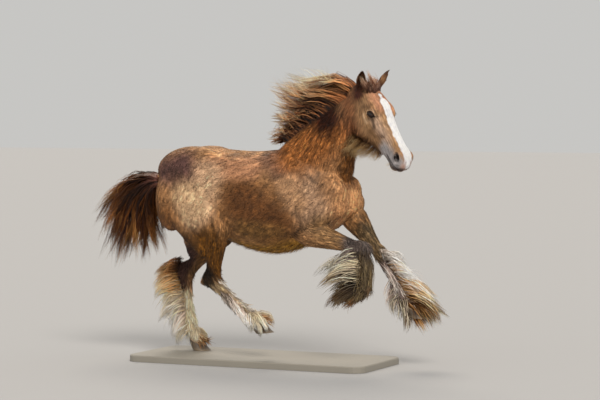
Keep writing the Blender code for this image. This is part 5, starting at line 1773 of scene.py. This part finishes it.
TAIL = Curtain(
    (
        ((-0.8, 0, 1.13), (-0.87, 0, 1.146), (-0.98, 0, 1.128), (-1.13, 0.02, 1.06), (-1.3, 0.03, 0.935)),
        ((-0.8, 0, 1.125), (-0.88, 0, 1.122), (-1.01, 0, 1.06),
         (-1.17, 0.02, 0.93), (-1.262, 0.03, 0.755)),
        ((-0.8, 0, 1.118), (-0.88, 0, 1.098), (-1, 0, 1), (-1.13, 0.02, 0.82), (-1.2, 0.03, 0.588)),
        ((-0.8, 0, 1.11), (-0.865, 0, 1.075), (-0.955, 0, 0.95),
         (-1.035, 0.02, 0.76), (-1.085, 0.03, 0.565)),
        ((-0.8, 0, 1.1), (-0.85, 0, 1.06), (-0.9, 0, 0.935), (-0.935, 0.02, 0.75), (-0.94, 0.03, 0.58)),
        ((-0.8, 0, 1.095), (-0.835, 0, 1.05), (-0.86, 0, 0.935),
         (-0.855, 0.02, 0.8), (-0.81, 0.03, 0.675)),
    ),
    strands=4700, locks=96, root_spread=0.034, tip_spread=0.092, width=0.0038, wave=0.018, lift=0.016,
    stops=((0.0, "#4c2d27"), (0.3, "#180e0b"), (0.62, "#1a0b04"), (0.85, "#441b04"), (1.0, "#8c4e16")),
    gold_and_highlight=((0.0, "#84503f"), (0.3, "#4a2817"), (0.62, "#784519"), (0.85, "#ae7034"), (1.0, "#e6b46c")),
    shine=(0.4, 0.28, 0.2, 0.22, 0.28, 0.45), seed=23, stray=0.16, curl=0.022,
)


@dataclass(frozen=True)
class Feather:
    """The long hair of one leg: fans that stream off the cannon and lap over the hoof.

    A fan is the place of its root and of its tips in the side view (x, z), and how far
    its outer tips stand to the side.
    """

    leg: Leg
    fans: tuple[tuple[tuple[float, float], tuple[float, float], float], ...]
    stops: tuple[tuple[tuple[float, str], ...], ...]
    strands: int
    locks: int = 46
    width: float = 0.0042
    steps: int = 6

    def build(self) -> Strands:
        """Draws the strands of all the fans.

        Returns:
            The strands in the horse's frame.
        """
        chance = np.random.default_rng(sum(ord(letter) for letter in self.leg.name))
        count = self.strands
        middle = float(self.leg.at("fetlock")[1])
        table = np.array([[*root, *tip, spread] for root, tip, spread in self.fans])
        rows = np.linspace(0, 1, len(table))
        lock_at = chance.random(self.locks)
        lock_lane = chance.uniform(-1, 1, self.locks)
        lock_reach = 1 + chance.uniform(-0.3, 0.12, self.locks)
        lock_tone = np.exp(chance.normal(0, 0.3, self.locks))
        lock_bend = np.clip(chance.normal(0, 1, (self.locks, 2)), -1.4, 1.4)
        lock_colour = np.clip(lock_at + chance.normal(0, 0.06, self.locks), 0, 1)
        mine = chance.integers(0, self.locks, count)
        loose = chance.random(count) < 0.16
        at = np.clip(lock_at[mine] + chance.normal(0, 0.05, count), 0, 1)
        at = np.where(loose, chance.random(count), at)
        lane = np.clip(lock_lane[mine] + chance.normal(0, 0.26, count), -1.1, 1.1)
        fan = spline(rows, table, at)
        heart = spline(rows, table, lock_at)[mine]
        close = np.where(loose, 0.2, 0.8)
        tip = fan[:, 2:4] + (heart[:, 2:4] - fan[:, 2:4]) * close[:, None]
        tip_lane = lane + (lock_lane[mine] - lane) * close
        start = np.stack([fan[:, 0], middle + lane * 0.03, fan[:, 1]], 1)
        start[:, [0, 2]] += chance.normal(0, 0.01, (count, 2))
        end = np.stack([tip[:, 0], middle + tip_lane * fan[:, 4], tip[:, 1]], 1)
        reach = lock_reach[mine] * (1 + chance.uniform(-0.25, 0.05, count))
        end = start + (end - start) * reach[:, None] + chance.normal(0, 0.005, (count, 3))
        end[:, 2] = np.maximum(end[:, 2], GROUND_GAP)
        fall = end - start
        size = np.linalg.norm(fall, axis=1, keepdims=True)
        across = vec(0, 1, 0)
        outward = unit(np.cross(fall, across)) * np.sign(fall[:, :1])
        share = np.linspace(0, 1, self.steps)
        bow = np.interp(share, (0, 0.35, 0.7, 1.0), (0, 0.11, 0.1, 0)) * (1 + 0.5 * lock_bend[mine, :1])
        swing = np.sin(math.tau * share * 0.8 + lock_bend[mine, :1] * 3)
        wave = 0.011 * lock_bend[mine, 1:] * swing * share
        round_side = lane[:, None] * 0.018 * np.sin(share * math.pi)
        path = start[:, None] + fall[:, None] * share[None, :, None]
        path += outward[:, None] * (size * bow + wave)[..., None]
        path += across * (round_side + wave[:, ::-1] * share)[..., None]
        path[..., 2] = np.maximum(path[..., 2], GROUND_GAP)
        knots = np.linspace(0, 1, len(self.stops))
        shades = np.array([ramp(stops, share) for stops in self.stops])
        shade = np.where(loose, at, lock_colour[mine]) + chance.normal(0, 0.04, count)
        colour = spline(knots, shades, np.clip(shade, 0, 1))
        tone = lock_tone[mine] * np.exp(chance.normal(0, 0.14, count))
        face = unit(outward * (1 - 0.7 * np.abs(lane[:, None])) + across * lane[:, None])
        widths = self.width * chance.uniform(0.6, 1.25, count)
        return Strands(path, widths, np.clip(colour * tone[:, None, None], 0.003, 1), face, LONG_HAIR)


CREAM = ((0.0, "#d8c4a2"), (0.5, "#f6e6c8"), (1.0, "#fffaec"))
DIPPED = ((0.0, "#cdbb9a"), (0.45, "#f4e6ca"), (0.75, "#b59c74"), (1.0, "#3a291c"))
WHITE = ((0.0, "#cfc4ba"), (0.5, "#fbf6f0"), (1.0, "#ffffff"))
PINK = ((0.0, "#ccb4a4"), (0.4, "#fbe9dc"), (1.0, "#fffaf4"))
MAUVE = ((0.0, "#5a4c4a"), (0.5, "#a3908a"), (1.0, "#e0d0c4"))
SMOKY = ((0.0, "#33261d"), (0.5, "#5c4c3a"), (1.0, "#9a8566"))
OLIVE = ((0.0, "#4c3f2c"), (0.5, "#7a6848"), (1.0, "#a8926c"))
DARK = ((0.0, "#241710"), (0.6, "#3d2a14"), (1.0, "#7c5428"))
ORANGE = ((0.0, "#5a3a1a"), (0.5, "#a06f38"), (1.0, "#dcae74"))
SINGED = ((0.0, "#4a2e1c"), (0.5, "#b47c46"), (1.0, "#fbcf94"))
TAWNY = ((0.0, "#b88a56"), (0.5, "#efc490"), (1.0, "#ffecc8"))
FEATHERS = (
    Feather(LEGS[0], (
        ((0.64, 0.735), (0.52, 0.668), 0.024),
        ((0.652, 0.69), (0.47, 0.612), 0.028), ((0.65, 0.64), (0.368, 0.552), 0.038),
        ((0.65, 0.59), (0.372, 0.516), 0.05), ((0.652, 0.54), (0.43, 0.45), 0.066),
        ((0.655, 0.49), (0.435, 0.38), 0.08), ((0.66, 0.46), (0.468, 0.335), 0.088),
        ((0.668, 0.455), (0.555, 0.335), 0.086), ((0.69, 0.465), (0.64, 0.355), 0.066),
        ((0.694, 0.52), (0.68, 0.39), 0.052), ((0.69, 0.6), (0.697, 0.45), 0.044),
        ((0.684, 0.67), (0.704, 0.53), 0.04)),
        (MAUVE, CREAM, CREAM, CREAM, DIPPED, SMOKY, DARK, SMOKY, DARK, OLIVE, OLIVE, OLIVE, SMOKY), 3100, 64),
    Feather(LEGS[1], (
        ((0.69, 0.66), (0.8, 0.652), 0.026), ((0.71, 0.62), (0.822, 0.582), 0.034),
        ((0.74, 0.57), (0.905, 0.532), 0.04), ((0.775, 0.515), (0.975, 0.458), 0.048),
        ((0.815, 0.46), (1.022, 0.385), 0.06), ((0.85, 0.41), (1.072, 0.305), 0.072),
        ((0.865, 0.375), (1.08, 0.225), 0.084), ((0.85, 0.36), (0.99, 0.185), 0.092),
        ((0.82, 0.38), (0.875, 0.19), 0.08), ((0.795, 0.405), (0.768, 0.245), 0.06),
        ((0.775, 0.43), (0.715, 0.325), 0.04), ((0.735, 0.52), (0.79, 0.4), 0.05),
        ((0.69, 0.6), (0.745, 0.48), 0.048)),
        (WHITE, PINK, WHITE, PINK, TAWNY, TAWNY, DARK, ORANGE, DARK, CREAM, MAUVE, PINK, MAUVE), 3200, 64),
    Feather(LEGS[2], (
        ((-0.312, 0.418), (-0.262, 0.318), 0.032), ((-0.25, 0.372), (-0.19, 0.264), 0.046),
        ((-0.188, 0.322), (-0.125, 0.21), 0.06), ((-0.132, 0.28), (-0.068, 0.158), 0.078),
        ((-0.08, 0.265), (0.0, 0.15), 0.088), ((-0.06, 0.278), (0.074, 0.192), 0.074)),
        (SMOKY, PINK, PINK, CREAM, CREAM), 2200),
    Feather(LEGS[3], (
        ((-0.752, 0.575), (-0.85, 0.528), 0.028), ((-0.765, 0.52), (-0.918, 0.462), 0.034),
        ((-0.755, 0.46), (-0.925, 0.372), 0.042), ((-0.728, 0.39), (-0.888, 0.268), 0.052),
        ((-0.71, 0.31), (-0.85, 0.155), 0.062), ((-0.692, 0.22), (-0.775, 0.045), 0.075),
        ((-0.655, 0.145), (-0.68, 0.024), 0.092), ((-0.612, 0.132), (-0.58, 0.03), 0.08)),
        (SINGED, SINGED, TAWNY, CREAM, PINK, CREAM, CREAM), 2700, 54),
)


@dataclass(frozen=True)
class FaceHair:
    """The forelock between the ears and the beard along the jaw."""

    forelock: tuple[tuple[Point, ...], ...] = (
        ((0.06, -0.046, -0.012), (0.052, -0.058, 0), (0.032, -0.07, 0.006),
         (0.004, -0.08, 0.006), (-0.044, -0.088, -0.002)),
        ((0.084, -0.018, -0.002), (0.072, -0.024, 0.012), (0.048, -0.03, 0.02),
         (0.014, -0.036, 0.021), (-0.04, -0.042, 0.012)),
        ((0.086, 0.012, -0.002), (0.074, 0.014, 0.013), (0.048, 0.014, 0.022),
         (0.012, 0.012, 0.024), (-0.04, 0.008, 0.014)),
        ((0.07, 0.042, -0.014), (0.06, 0.048, 0.002), (0.042, 0.054, 0.013),
         (0.01, 0.054, 0.016), (-0.04, 0.048, 0.01)),
    )

    def build_forelock(self) -> Strands:
        """Draws the forelock."""
        guides = tuple(tuple(tuple(HEAD.place(*point)) for point in guide) for guide in self.forelock)
        curtain = Curtain(
            guides,
            strands=1000, locks=30, root_spread=0.014, tip_spread=0.032, width=0.0016, wave=0.01, lift=0.005,
            stops=((0.0, "#170a06"), (0.4, "#3c1c10"), (0.7, "#78442a"), (1.0, "#c08858")),
            gold_and_highlight=((0.0, "#2e1a12"), (0.4, "#74503e"), (0.7, "#bc957c"), (1.0, "#f0d8bc")),
            shine=(0.45, 0.5, 0.3, 0.15), seed=5, stray=0.32, curl=0.01)
        made = curtain.build()
        made.outward = np.tile(unit(HEAD.axes()[1]), (len(made.paths), 1))
        return made

    def build_beard(self) -> Strands:
        """Draws the beard, which hangs from the edge of the jaw and blows back."""
        chance = np.random.default_rng(8)
        count, steps, locks = 1900, 6, 46
        lock_at = chance.random(locks)
        lock_side = chance.uniform(-1, 1, locks)
        lock_way = chance.normal(0, 0.27, (locks, 3))
        mine = chance.integers(0, locks, count)
        share = np.clip(lock_at[mine] + chance.normal(0, 0.03, count), 0, 1)
        side = np.clip(lock_side[mine] + chance.normal(0, 0.25, count), -1, 1)
        down = 0.15 + 0.26 * share
        edge = np.interp(down, (0.09, 0.19, 0.26, 0.33, 0.43), (-0.22, -0.238, -0.223, -0.189, -0.142))
        root = HEAD.place(down, side * 0.034, edge)
        length = chance.uniform(0.05, 0.215, count) * (1 - 0.62 * share)
        fall = np.stack([np.full(count, -0.5), side * 0.2, np.full(count, -0.82)], 1)
        fall = unit(fall + lock_way[mine] + chance.normal(0, 0.07, (count, 3)))
        t = np.linspace(0, 1, steps)
        path = root[:, None] + fall[:, None] * (length[:, None] * t)[..., None]
        path[..., 0] -= length[:, None] * 0.4 * t**2 + 0.005 * np.sin(6 * t + lock_way[mine, :1] * 9)
        colour = ramp(((0.0, "#26160a"), (0.4, "#5e3e1e"), (0.75, "#b08a54"), (1.0, "#f0d6a4")), t)[None]
        colour = colour * np.exp(chance.normal(0, 0.2, (count, 1, 1)))
        outward = np.tile(HEAD.axes()[2], (count, 1)) * np.where(side < 0, -1.0, 1.0)[:, None]
        widths = 0.0015 * chance.uniform(0.6, 1.2, count)
        return Strands(path, widths, np.clip(colour, 0.01, 1), outward, LONG_HAIR)


# ---- hooves


@dataclass(frozen=True)
class Hoof:
    """A hoof: a slanting cone of horn with growth rings, a soft band on top and a flat sole."""

    leg: Leg
    sides: int = 56
    rings: int = 9
    # half width, reach to the toe and to the heel, from the coronet down to the sole
    radii: tuple[tuple[float, ...], ...] = (
        (0.056, 0.059, 0.061, 0.064), (0.052, 0.054, 0.058, 0.062), (0.05, 0.052, 0.05, 0.05))

    def frame(self) -> tuple[Array, Array]:
        """The coronet and the turn of the hoof from a standing one, as a matrix."""
        reach = self.leg.at("toe") - self.leg.at("coronet")
        pitch = math.atan2(reach[2], reach[0]) - math.atan2(-self.leg.hoof_drop, self.leg.hoof_reach)
        return self.leg.at("coronet"), np.array(Matrix.Rotation(-pitch, 3, "Y"))

    def ring(self, share: float, swell: float = 0.0) -> Array:
        """The outline of the wall at a share of its height.

        Args:
            share: 0 at the coronet, 1 at the sole.
            swell: how far outside the wall the outline lies.

        Returns:
            Places round the hoof in the horse's frame.
        """
        knots = vec(0, 0.12, 0.55, 1.0)
        width, front, back = (np.interp(share, knots, row) + swell for row in self.radii)
        turn = math.tau * np.arange(self.sides) / self.sides
        c, s = np.cos(turn), np.sin(turn)
        reach = np.where(c > 0, c * front, c * back)
        top = np.stack([reach, s * width, -0.012 - 0.024 * c], 1)
        low = np.stack([reach + share * 0.028, s * width, np.full_like(c, -self.leg.hoof_drop)], 1)
        centre, turned = self.frame()
        return centre + blend(top, low, share) @ turned.T

    def covers(self, points: Array) -> Array:
        """Whether each place lies inside the hoof, where no hair grows."""
        centre, turned = self.frame()
        at = (points - centre) @ turned
        top = -0.012 - 0.024 * np.clip(at[:, 0] / 0.05, -1, 1)
        return (at[:, 2] < top) & (np.linalg.norm(at, axis=1) < 0.11)

    def dress(self) -> Object:
        """Makes the hoof with its growth rings in the wall.

        Returns:
            The object.
        """
        shares = np.linspace(0.0, 1.0, 46)
        ends = np.interp(shares, (0, 0.1, 0.9, 1), (0, 1, 1, 0))
        wave = 0.0007 * np.sin(shares * math.tau * self.rings) * ends
        band = 0.0018 * hump(shares, 0.03, 0.04)
        edge = -0.0022 * smooth(0.97, 1.0, shares)
        surface = loft(np.array([self.ring(s, swell) for s, swell in zip(shares, wave + band + edge)]))
        share = np.concatenate([np.repeat(shares, self.sides), (0, 1)])
        tint = ramp(((0, "#8d7a63"), (0.12, "#4a3d31"), (0.6, "#5f5142"), (1.0, "#7c6c58")), share)
        tint *= (1 + 0.14 * ripple(surface.points, 0.012, 41))[:, None]
        return mesh_of("hoof_wall_" + self.leg.name, surface, HORN, np.clip(tint, 0, 1))


# ---- bristles by geometry nodes


@dataclass(frozen=True)
class Bristles:
    """Lashes or whiskers: tapering bristles that stand on a row of seed points."""

    name: str
    length: float
    thickness: float
    colour: str
    seed: int

    @property
    def inputs(self) -> dict[str, float]:
        """The tree's inputs by name."""
        return {"Length": self.length, "Thickness": self.thickness, "Seed": self.seed}

    def tree(self) -> bpy.types.NodeTree:
        """Builds the node tree that sets one bristle on each point.

        Returns:
            The node tree.
        """
        tree = bpy.data.node_groups.new(self.name, "GeometryNodeTree")
        face = tree.interface
        face.new_socket("Geometry", in_out="INPUT", socket_type="NodeSocketGeometry")
        for label, value in self.inputs.items():
            kind = "NodeSocketInt" if label == "Seed" else "NodeSocketFloat"
            face.new_socket(label, in_out="INPUT", socket_type=kind).default_value = value
        face.new_socket("Geometry", in_out="OUTPUT", socket_type="NodeSocketGeometry")
        given = add_node(tree, "NodeGroupInput").outputs
        cone = add_node(tree, "GeometryNodeMeshCone",
                        {"Vertices": 5, "Side Segments": 4, "Radius Top": 0.00005},
                        {"Radius Bottom": given["Thickness"], "Depth": given["Length"]})
        way = add_node(tree, "GeometryNodeInputNamedAttribute", {"data_type": "FLOAT_VECTOR", "Name": "way"})
        turn = add_node(tree, "FunctionNodeAlignRotationToVector", {"axis": "Z"},
                        {"Vector": way.outputs["Attribute"]})
        size = add_node(tree, "FunctionNodeRandomValue", {"data_type": "FLOAT", 2: 0.65, 3: 1.15},
                        {"Seed": given["Seed"]})
        placed = add_node(tree, "GeometryNodeInstanceOnPoints", links={
            "Points": given["Geometry"], "Instance": cone.outputs["Mesh"],
            "Rotation": turn.outputs["Rotation"], "Scale": size.outputs[1]})
        real = add_node(tree, "GeometryNodeRealizeInstances", links={"Geometry": placed.outputs["Instances"]})
        material = Finish(self.name + "_keratin", 0.45, colour=self.colour).material()
        finish = add_node(tree, "GeometryNodeSetMaterial", {"Material": material},
                          {"Geometry": real.outputs["Geometry"]})
        add_node(tree, "NodeGroupOutput", links={"Geometry": finish.outputs["Geometry"]})
        return tree

    def dress(self, roots: Sequence[Array], ways: Sequence[Array]) -> Object:
        """Makes the bristles as one plain mesh.

        Args:
            roots: where they stand.
            ways: the directions in which they point.

        Returns:
            The object.
        """
        mesh = bpy.data.meshes.new(self.name + "_roots")
        mesh.from_pydata(np.array(roots).tolist(), [], [])
        way = mesh.attributes.new("way", "FLOAT_VECTOR", "POINT")
        way.data.foreach_set("vector", np.array(ways, np.float32).ravel())
        seeds = linked(self.name + "_roots", mesh)
        grow = seeds.modifiers.new("bristles", "NODES")
        grow.node_group = self.tree()
        for item in grow.node_group.interface.items_tree:
            if item.in_out == "INPUT" and item.name in self.inputs:
                grow[item.identifier] = self.inputs[item.name]
        graph = bpy.context.evaluated_depsgraph_get()
        plain = bpy.data.meshes.new_from_object(seeds.evaluated_get(graph))
        bpy.data.objects.remove(seeds, do_unlink=True)
        return linked(self.name, plain)


def dress_lashes() -> Object:
    """Makes the lashes of both upper lids.

    Returns:
        The object.
    """
    roots, ways = [], []
    for side in SIDES:
        eye = Eye(side)
        centre, outward, length, upwards = eye.axes()
        for a in np.linspace(-0.75, 0.95, LASHES):
            b = eye.upper * math.cos(a / eye.corner * math.pi / 2) ** 0.8 + 0.05
            o = math.sqrt(max(eye.lid**2 - a * a - b * b, 0.1))
            roots.append(centre + (length * a + upwards * b + outward * o) * HEAD.eye_radius)
            ways.append(unit(outward * 0.85 + upwards * 0.12 + length * (0.15 + 0.25 * a) - vec(0, 0, 0.28)))
    return Bristles("lashes", 0.018, 0.00085, "#241813", 3).dress(roots, ways)


def dress_whiskers() -> Object:
    """Makes the whiskers of the chin and muzzle.

    Returns:
        The object.
    """
    chance = np.random.default_rng(17)
    along, out, left = HEAD.axes()
    roots, ways = [], []
    for _ in range(WHISKERS):
        side = chance.uniform(-1, 1)
        down = chance.random()
        roots.append(HEAD.place(0.5 + 0.07 * down, side * 0.03, -0.142 + 0.02 * down))
        way = -out * 0.8 + along * (down - 0.4) * 0.5 + left * side * 0.5
        ways.append(unit(way + chance.normal(0, 0.15, 3)))
    return Bristles("whiskers", 0.04, 0.00075, "#d9c8a8", 19).dress(roots, ways)


# ---- the studio


@dataclass(frozen=True)
class Studio:
    """A pale floor, soft lights and a camera where the photographer stood."""

    distance: float = 14.0
    turn: float = math.radians(25)
    aside: float = 0.15625
    height: float = 1.575
    pitch: float = math.radians(2.4285)
    lens: float = 134.4
    floor_reach: float = 60.0
    floor_drop: float = 0.001

    def camera(self, base: Array) -> None:
        """Sets up the camera.

        Args:
            base: how far the horse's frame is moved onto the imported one.
        """
        back = vec(math.sin(self.turn), -math.cos(self.turn), 0)
        right = vec(math.cos(self.turn), math.sin(self.turn), 0)
        data = bpy.data.cameras.new("camera")
        data.lens = self.lens
        data.sensor_width = 36.0
        data.clip_end = 200
        eye = linked("camera", data)
        eye.location = base + back * self.distance + right * self.aside + vec(0, 0, self.height)
        look = -back * math.cos(self.pitch) - vec(0, 0, math.sin(self.pitch))
        eye.rotation_euler = Vector(look).to_track_quat("-Z", "Y").to_euler()
        bpy.context.scene.camera = eye

    def light(self, name: str, place: Point, strength: float, spread: float, colour: str) -> None:
        """Adds one broad soft light far off, which lights the whole floor evenly.

        Args:
            name: its name.
            place: the side that it comes from.
            strength: its power in watts per square metre.
            spread: its width in degrees.
            colour: its colour.
        """
        data = bpy.data.lights.new(name, "SUN")
        data.angle = math.radians(spread)
        data.energy = strength
        data.color = tuple(linear(colour))
        lamp = linked(name, data)
        lamp.rotation_euler = (-Vector(place)).to_track_quat("-Z", "Y").to_euler()

    def build(self, base: Array) -> None:
        """Makes the floor, the lights and the camera.

        Args:
            base: how far the horse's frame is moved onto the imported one.
        """
        self.camera(base)
        corners = self.floor_reach * vec(-1, -1, 0, 1, -1, 0, 1, 1, 0, -1, 1, 0).reshape(4, 3)
        floor = Surface(corners - vec(0, 0, self.floor_drop), np.array([(0, 1, 2), (0, 2, 3)]))
        mesh_of("floor", floor, FLOOR, soft=False)
        self.light("key", (3.8, -5.0, 5.0), 2.2, 25, "#fff7ec")
        self.light("rim", (-3.0, 4.5, 5.5), 1.2, 30, "#fff3e2")
        world = bpy.data.worlds.new("studio")
        world.use_nodes = True
        sky = world.node_tree.nodes["Background"]
        sky.inputs["Color"].default_value = (*linear("#ecebe8"), 1.0)
        sky.inputs["Strength"].default_value = 0.68
        bpy.context.scene.world = world
        bpy.context.scene.view_settings.view_transform = "Standard"


# ---- the whole


def settle(made: Object, base: Array, slot: str, *nodes: str) -> None:
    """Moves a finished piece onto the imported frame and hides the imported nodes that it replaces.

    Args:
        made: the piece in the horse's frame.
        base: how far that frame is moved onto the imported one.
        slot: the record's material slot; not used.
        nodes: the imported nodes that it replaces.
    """
    made.data.transform(Matrix.Translation(base))
    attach(made, BODY)
    if nodes:
        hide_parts(*nodes)
    LOG.info("%s: %d triangles", made.name, sum(len(p.vertices) - 2 for p in made.data.polygons))


def main() -> None:
    """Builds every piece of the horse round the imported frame."""
    logging.basicConfig(level=logging.INFO, format="%(name)s: %(message)s")
    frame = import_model()
    low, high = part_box("eye_right")
    base = np.array((low + high) / 2) - HEAD.place(*(np.array(HEAD.eye_spot) * MIRROR))
    skin = Skin()
    skin.grow()
    surface = skin.detail()
    legs = [f"leg_{leg.name}_{part}" for leg in LEGS for part in ("upper", "lower")]
    settle(skin.dress(), base, "coat", "torso", "neck", "head", "ear_left", "ear_right", *legs)
    share = 1.0
    for piece in COAT_PIECES:
        fewer = replace(piece, tufts=int(piece.tufts * share))
        settle(fewer.build(surface).dress(piece.name), base, "coat")
    settle(MANE.build().dress("mane"), base, "tail_hair")
    settle(TAIL.build().dress("tail_hair"), base, "tail_hair", "tail")
    settle(FaceHair().build_forelock().dress("forelock"), base, "tail_hair")
    settle(FaceHair().build_beard().dress("beard"), base, "coat")
    for feather in FEATHERS:
        settle(feather.build().dress("feather_" + feather.leg.name), base, "feather")
    for side, node in zip(SIDES, ("eye_right", "eye_left")):
        settle(Eye(side).dress(), base, "eye", node)
    for leg in LEGS:
        settle(Hoof(leg).dress(), base, "horn", "hoof_" + leg.name)
    settle(dress_lashes(), base, "tail_hair")
    settle(dress_whiskers(), base, "coat")
    plate = frame["nodes"]["stand_base"]
    plate.data.materials.clear()
    plate.data.materials.append(PLINTH.material())
    Studio().build(base)


if __name__ == "__main__":
    main()
